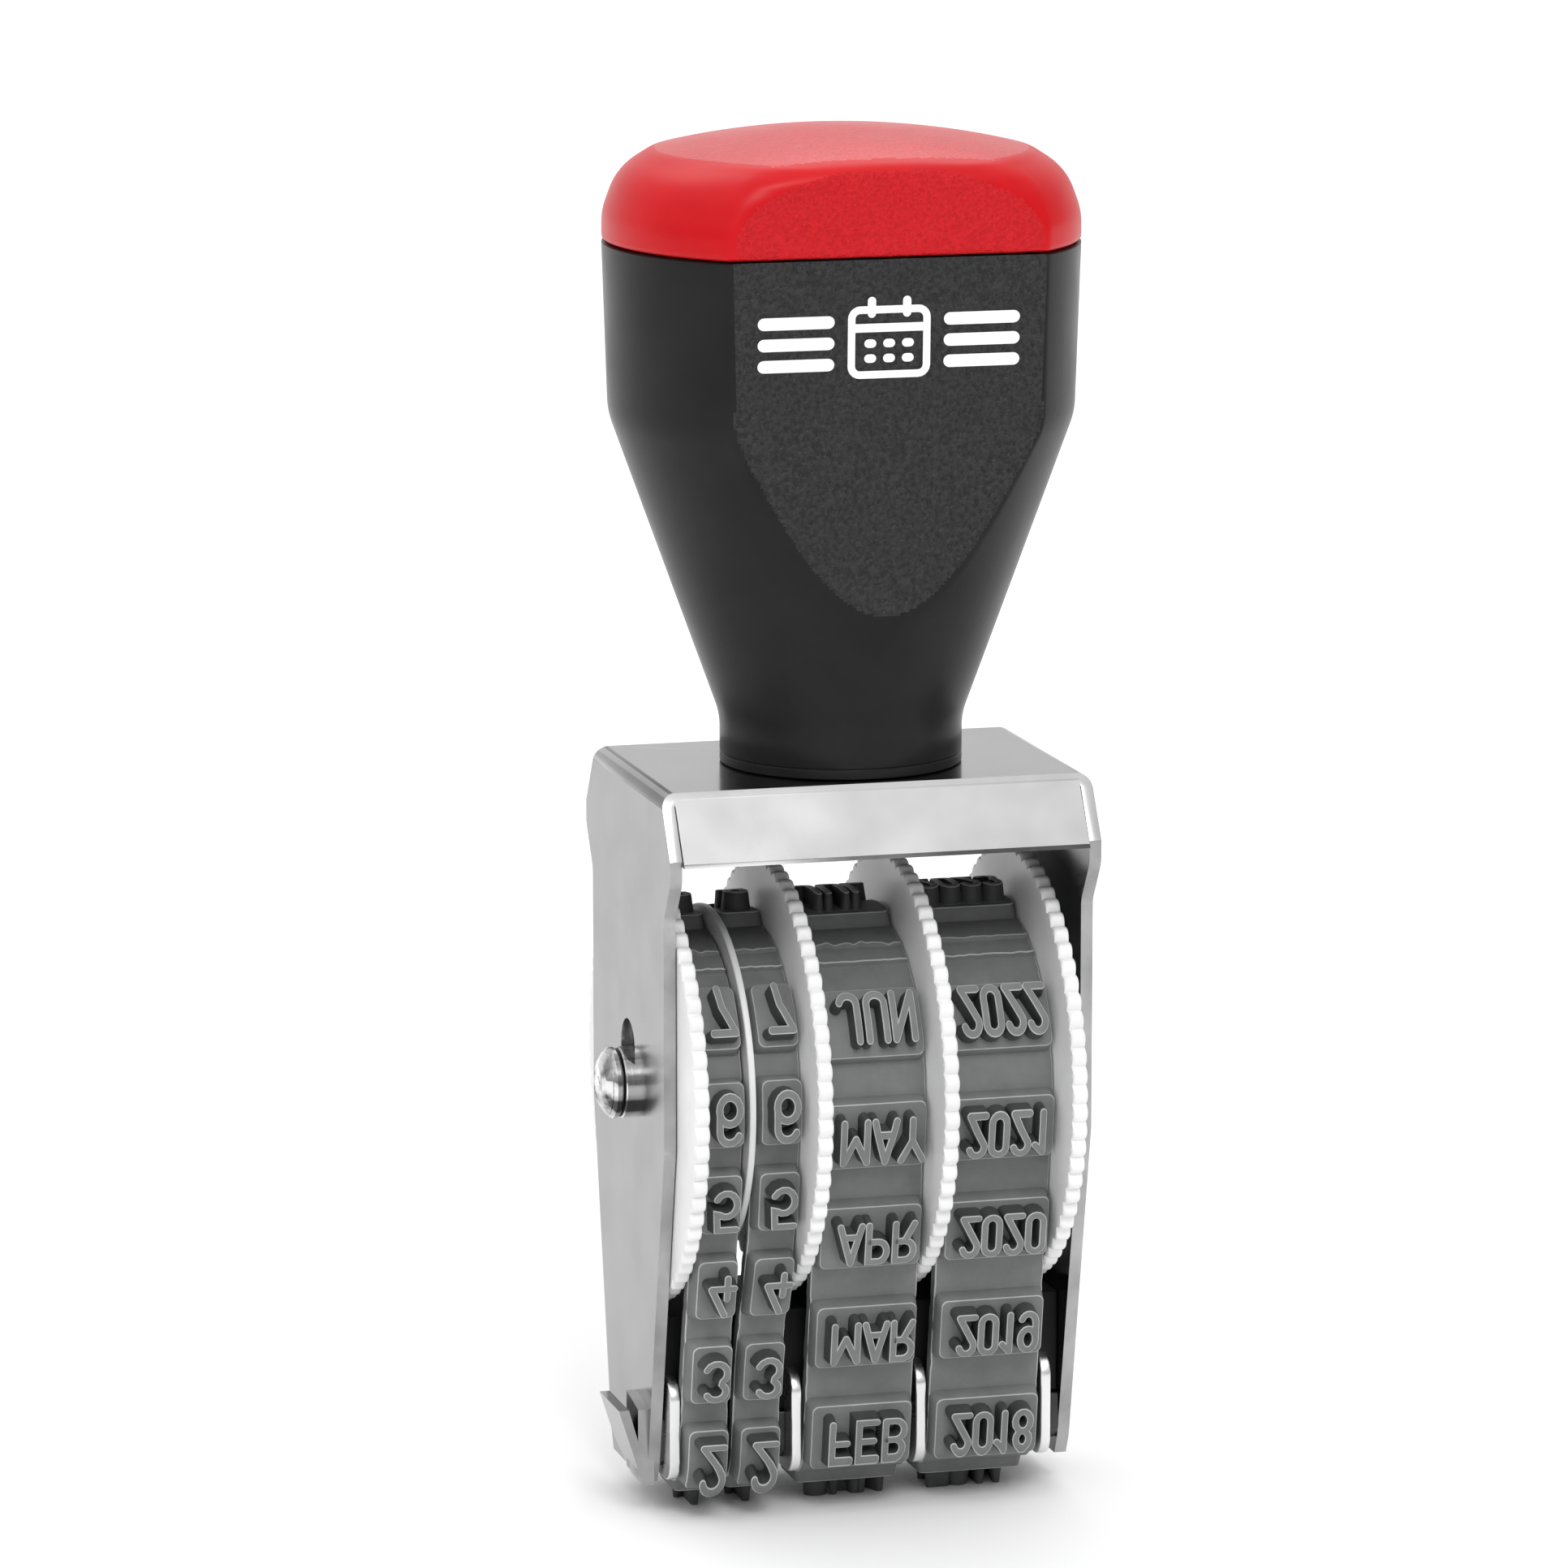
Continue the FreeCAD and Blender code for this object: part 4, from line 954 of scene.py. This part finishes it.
# ---------------------------------------------------------------- axle
def axle_turned():
    """The turned axle: chamfered ends with fine rings and a clip groove outside each plate. It
    lacks the CAD axle's neck, so it overlaps the sheet at both slots."""
    low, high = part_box("axle")
    half = high.x
    radius = (high.z - low.z) / 2
    groove_radius = 2.25 * MM
    # (distance in from the end, radius)
    end = [(0.0, 0.0), (0.0, 0.55 * MM), (0.06 * MM, 0.62 * MM), (0.02 * MM, 0.8 * MM),
           (0.08 * MM, 1.25 * MM), (0.04 * MM, 1.4 * MM), (0.25 * MM, 1.95 * MM),
           (0.3 * MM, 2.05 * MM), (0.7 * MM, 2.62 * MM), (0.78 * MM, 2.62 * MM),
           (0.95 * MM, 2.85 * MM), (1.05 * MM, radius), (1.38 * MM, radius),
           (1.42 * MM, radius - 0.1 * MM), (1.5 * MM, radius - 0.12 * MM),
           (1.54 * MM, groove_radius), (1.72 * MM, groove_radius), (1.76 * MM, radius - 0.1 * MM),
           (1.86 * MM, radius)]
    rows = [(-half + d, r) for d, r in end] + [(half - d, r) for d, r in reversed(end)]
    columns = 96
    turn = np.linspace(0, 2 * math.pi, columns, endpoint=False)
    points = [(rows[0][0], 0, AXLE_HIGH)]
    for x, r in rows[1:-1]:
        points += [(x, r * math.cos(a), AXLE_HIGH + r * math.sin(a)) for a in turn]
    points.append((rows[-1][0], 0, AXLE_HIGH))
    count = len(rows) - 2
    faces = [tuple(1 + i for i in f) for f in ring_faces(count, columns)]
    last = 1 + (count - 1) * columns
    faces += [(0, 1 + i, 1 + (i + 1) % columns) for i in range(columns)]
    faces += [(last + i, last + columns, last + (i + 1) % columns) for i in range(columns)]
    # the clip grooves get the dark steel: painted shade in the recess
    groove = {i for i, (x, r) in enumerate(rows[1:-2]) if abs(r - groove_radius) < 1e-6}
    marks = [1 if f // columns in groove else 0 for f in range((count - 1) * columns)]
    mesh = mesh_from("axle_turned", points, faces, marks + [0] * 2 * columns)
    add_piece("axle_turned", mesh, [CHROME, DARK_STEEL], "axle", ("axle",), 25)


# ---------------------------------------------------------------- printed pictogram
def pictogram():
    """A plain calendar sign between plain bars, printed in white on the front facet."""
    middle_high = SEAM - 6.6 * MM
    wide, tall = 3.1 * MM, 2.6 * MM
    thick = 0.03 * MM
    parts = Parts()

    def place(x, up, height):
        z = middle_high + up
        return (x, -(float(facet_distance(z)) + height), z)

    def stroke(path, closed, half):
        lift = len(parts.points) * 2e-9
        levels = [(half, -0.02 * MM - lift), (half, thick + lift)]
        parts.add(*raised_stroke(path, closed, levels, place))

    corner = 0.7 * MM
    sheet = []
    for side, end, start in ((1, 1, 0), (-1, 1, 90), (-1, -1, 180), (1, -1, 270)):
        sheet += arc(side * (wide - corner), end * (tall - corner), corner, corner,
                     start, start + 90, 5)
    stroke(sheet, True, 0.3 * MM)
    stroke([(-wide + 0.3 * MM, 1.15 * MM), (wide - 0.3 * MM, 1.15 * MM)], False, 0.34 * MM)
    for x in (-1.45 * MM, 1.45 * MM):
        stroke([(x, tall - 0.3 * MM), (x, tall + 0.7 * MM)], False, 0.34 * MM)
    for row in range(2):
        for column in range(3):
            x = (column - 1) * 1.55 * MM
            up = -0.1 * MM - row * 1.2 * MM
            stroke([(x - 0.15 * MM, up), (x + 0.15 * MM, up)], False, 0.34 * MM)
    for side in (-1, 1):
        for up in (1.7 * MM, 0.0, -1.7 * MM):
            stroke([(side * 5.0 * MM, up), (side * 10.3 * MM, up)], False, 0.5 * MM)
    mesh = mesh_from("calendar_print", parts.points, parts.faces, [0] * len(parts.faces))
    add_piece("calendar_print", mesh, [PRINT_WHITE], ROOT)


# ---------------------------------------------------------------- stage, light and camera
FLOOR_REACH = 3.0
WALL_BEND = 1.2
WALL_TOP = 4.0
SWEEP_HALF_WIDE = 6.0
# the view: degrees round and above the stamp, metres away from its target, lens in millimetres
VIEW_AZIMUTH = 15.22
VIEW_ELEVATION = 10.60
VIEW_DISTANCE = 0.6512
VIEW_TARGET = (-4.46 * MM, 1.21 * MM, 59.03 * MM)
LENS = 182.7
SENSOR_WIDTH = 36.0


def stage():
    """A seamless pale sweep: floor, a wide curve and a back wall."""
    work = bmesh.new()
    outline = [(-FLOOR_REACH, 0.0), (FLOOR_REACH, 0.0)]
    outline += [(FLOOR_REACH + WALL_BEND * math.sin(a), WALL_BEND - WALL_BEND * math.cos(a))
                for a in np.linspace(0, math.pi / 2, 24)[1:]]
    outline.append((FLOOR_REACH + WALL_BEND, WALL_TOP))
    rows = [[work.verts.new((x, y, z)) for y, z in outline]
            for x in (-SWEEP_HALF_WIDE, SWEEP_HALF_WIDE)]
    for i in range(len(outline) - 1):
        work.faces.new((rows[0][i], rows[1][i], rows[1][i + 1], rows[0][i + 1]))
    mesh = bpy.data.meshes.new("sweep")
    work.to_mesh(mesh)
    work.free()
    shade(mesh, 60)
    material, _, shader = surface("sweep_white", specular=0.2)
    shader.inputs["Base Color"].default_value = (0.9, 0.9, 0.9, 1)
    shader.inputs["Roughness"].default_value = 0.8
    mesh.materials.append(material)
    floor = bpy.data.objects.new("sweep", mesh)
    bpy.context.scene.collection.objects.link(floor)


def area_light(name, place, target, size, power):
    """A rectangular lamp that points at a target."""
    light = bpy.data.lights.new(name, "AREA")
    light.shape = "RECTANGLE"
    light.size, light.size_y = size
    light.energy = power
    lamp = bpy.data.objects.new(name, light)
    lamp.location = place
    lamp.rotation_euler = (Vector(target) - Vector(place)).to_track_quat("-Z", "Y").to_euler()
    bpy.context.scene.collection.objects.link(lamp)


def light():
    """Soft studio light: a tent that is brightest overhead, a key from above the front and a wide
    lamp over the floor behind."""
    world = bpy.data.worlds.new("studio")
    bpy.context.scene.world = world
    world.use_nodes = True
    tree = world.node_tree
    place = tree.nodes.new("ShaderNodeTexCoord")
    rise = tree.nodes.new("ShaderNodeVectorMath")
    rise.operation = "DOT_PRODUCT"
    rise.inputs[1].default_value = Vector((-0.1, -0.1, 0.93)).normalized()
    tree.links.new(place.outputs["Generated"], rise.inputs[0])
    tent = tree.nodes.new("ShaderNodeMapRange")
    tent.interpolation_type = "SMOOTHSTEP"
    tent.inputs["From Min"].default_value = -0.1
    tent.inputs["From Max"].default_value = 1.0
    tent.inputs["To Min"].default_value = 0.22
    tent.inputs["To Max"].default_value = 1.35
    tree.links.new(rise.outputs["Value"], tent.inputs["Value"])
    tree.links.new(tent.outputs["Result"], tree.nodes["Background"].inputs["Strength"])
    tree.nodes["Background"].inputs["Color"].default_value = (1, 1, 1, 1)
    middle = (0, 0, 0.06)
    area_light("key", (0.0, -1.15, 1.1), middle, (0.5, 0.5), 7)
    area_light("floor_wash", (0.0, 1.6, 1.8), (0, 1.0, 0), (2.4, 1.2), 14)


def camera():
    """Long lens, a little above the stamp and to its left."""
    azimuth, elevation = math.radians(VIEW_AZIMUTH), math.radians(VIEW_ELEVATION)
    away = Vector((-math.sin(azimuth) * math.cos(elevation),
                   -math.cos(azimuth) * math.cos(elevation), math.sin(elevation)))
    data = bpy.data.cameras.new("view")
    data.lens = LENS
    data.sensor_width = SENSOR_WIDTH
    data.clip_start, data.clip_end = 0.05, 20
    eye = bpy.data.objects.new("view", data)
    eye.location = Vector(VIEW_TARGET) + away * VIEW_DISTANCE
    eye.rotation_euler = (-away).to_track_quat("-Z", "Y").to_euler()
    bpy.context.scene.collection.objects.link(eye)
    bpy.context.scene.camera = eye


# ---------------------------------------------------------------- the scene
softened("frame", "folded_sheet", NICKEL, ROOT, 0.12 * MM)
grip_body()
cap()
pictogram()
bands()
wheels()
axle_turned()
softened("divider_disc", "divider_disc_moulding", DISC_WHITE, "divider_disc",
         0.12 * MM)
softened("friction_washer", "friction_washer_ring", ZINC, ROOT, 0.1 * MM)
softened("anvil_bar", "anvil_bar_sheet", DARK_STEEL, ROOT, 0.12 * MM)
softened("filler_block", "filler_block_moulding", FILLER_BLACK, ROOT, 0.15 * MM)
for number in range(1, 5):
    softened("divider_fin_%d" % number, "divider_fin_%d_sheet" % number, STEEL, ROOT,
             0.12 * MM)
softened("handle_screw", "handle_screw_pan", ZINC, ROOT, 0.1 * MM)
softened("screw_washer", "screw_washer_ring", ZINC, ROOT, 0.08 * MM)
stage()
light()
camera()
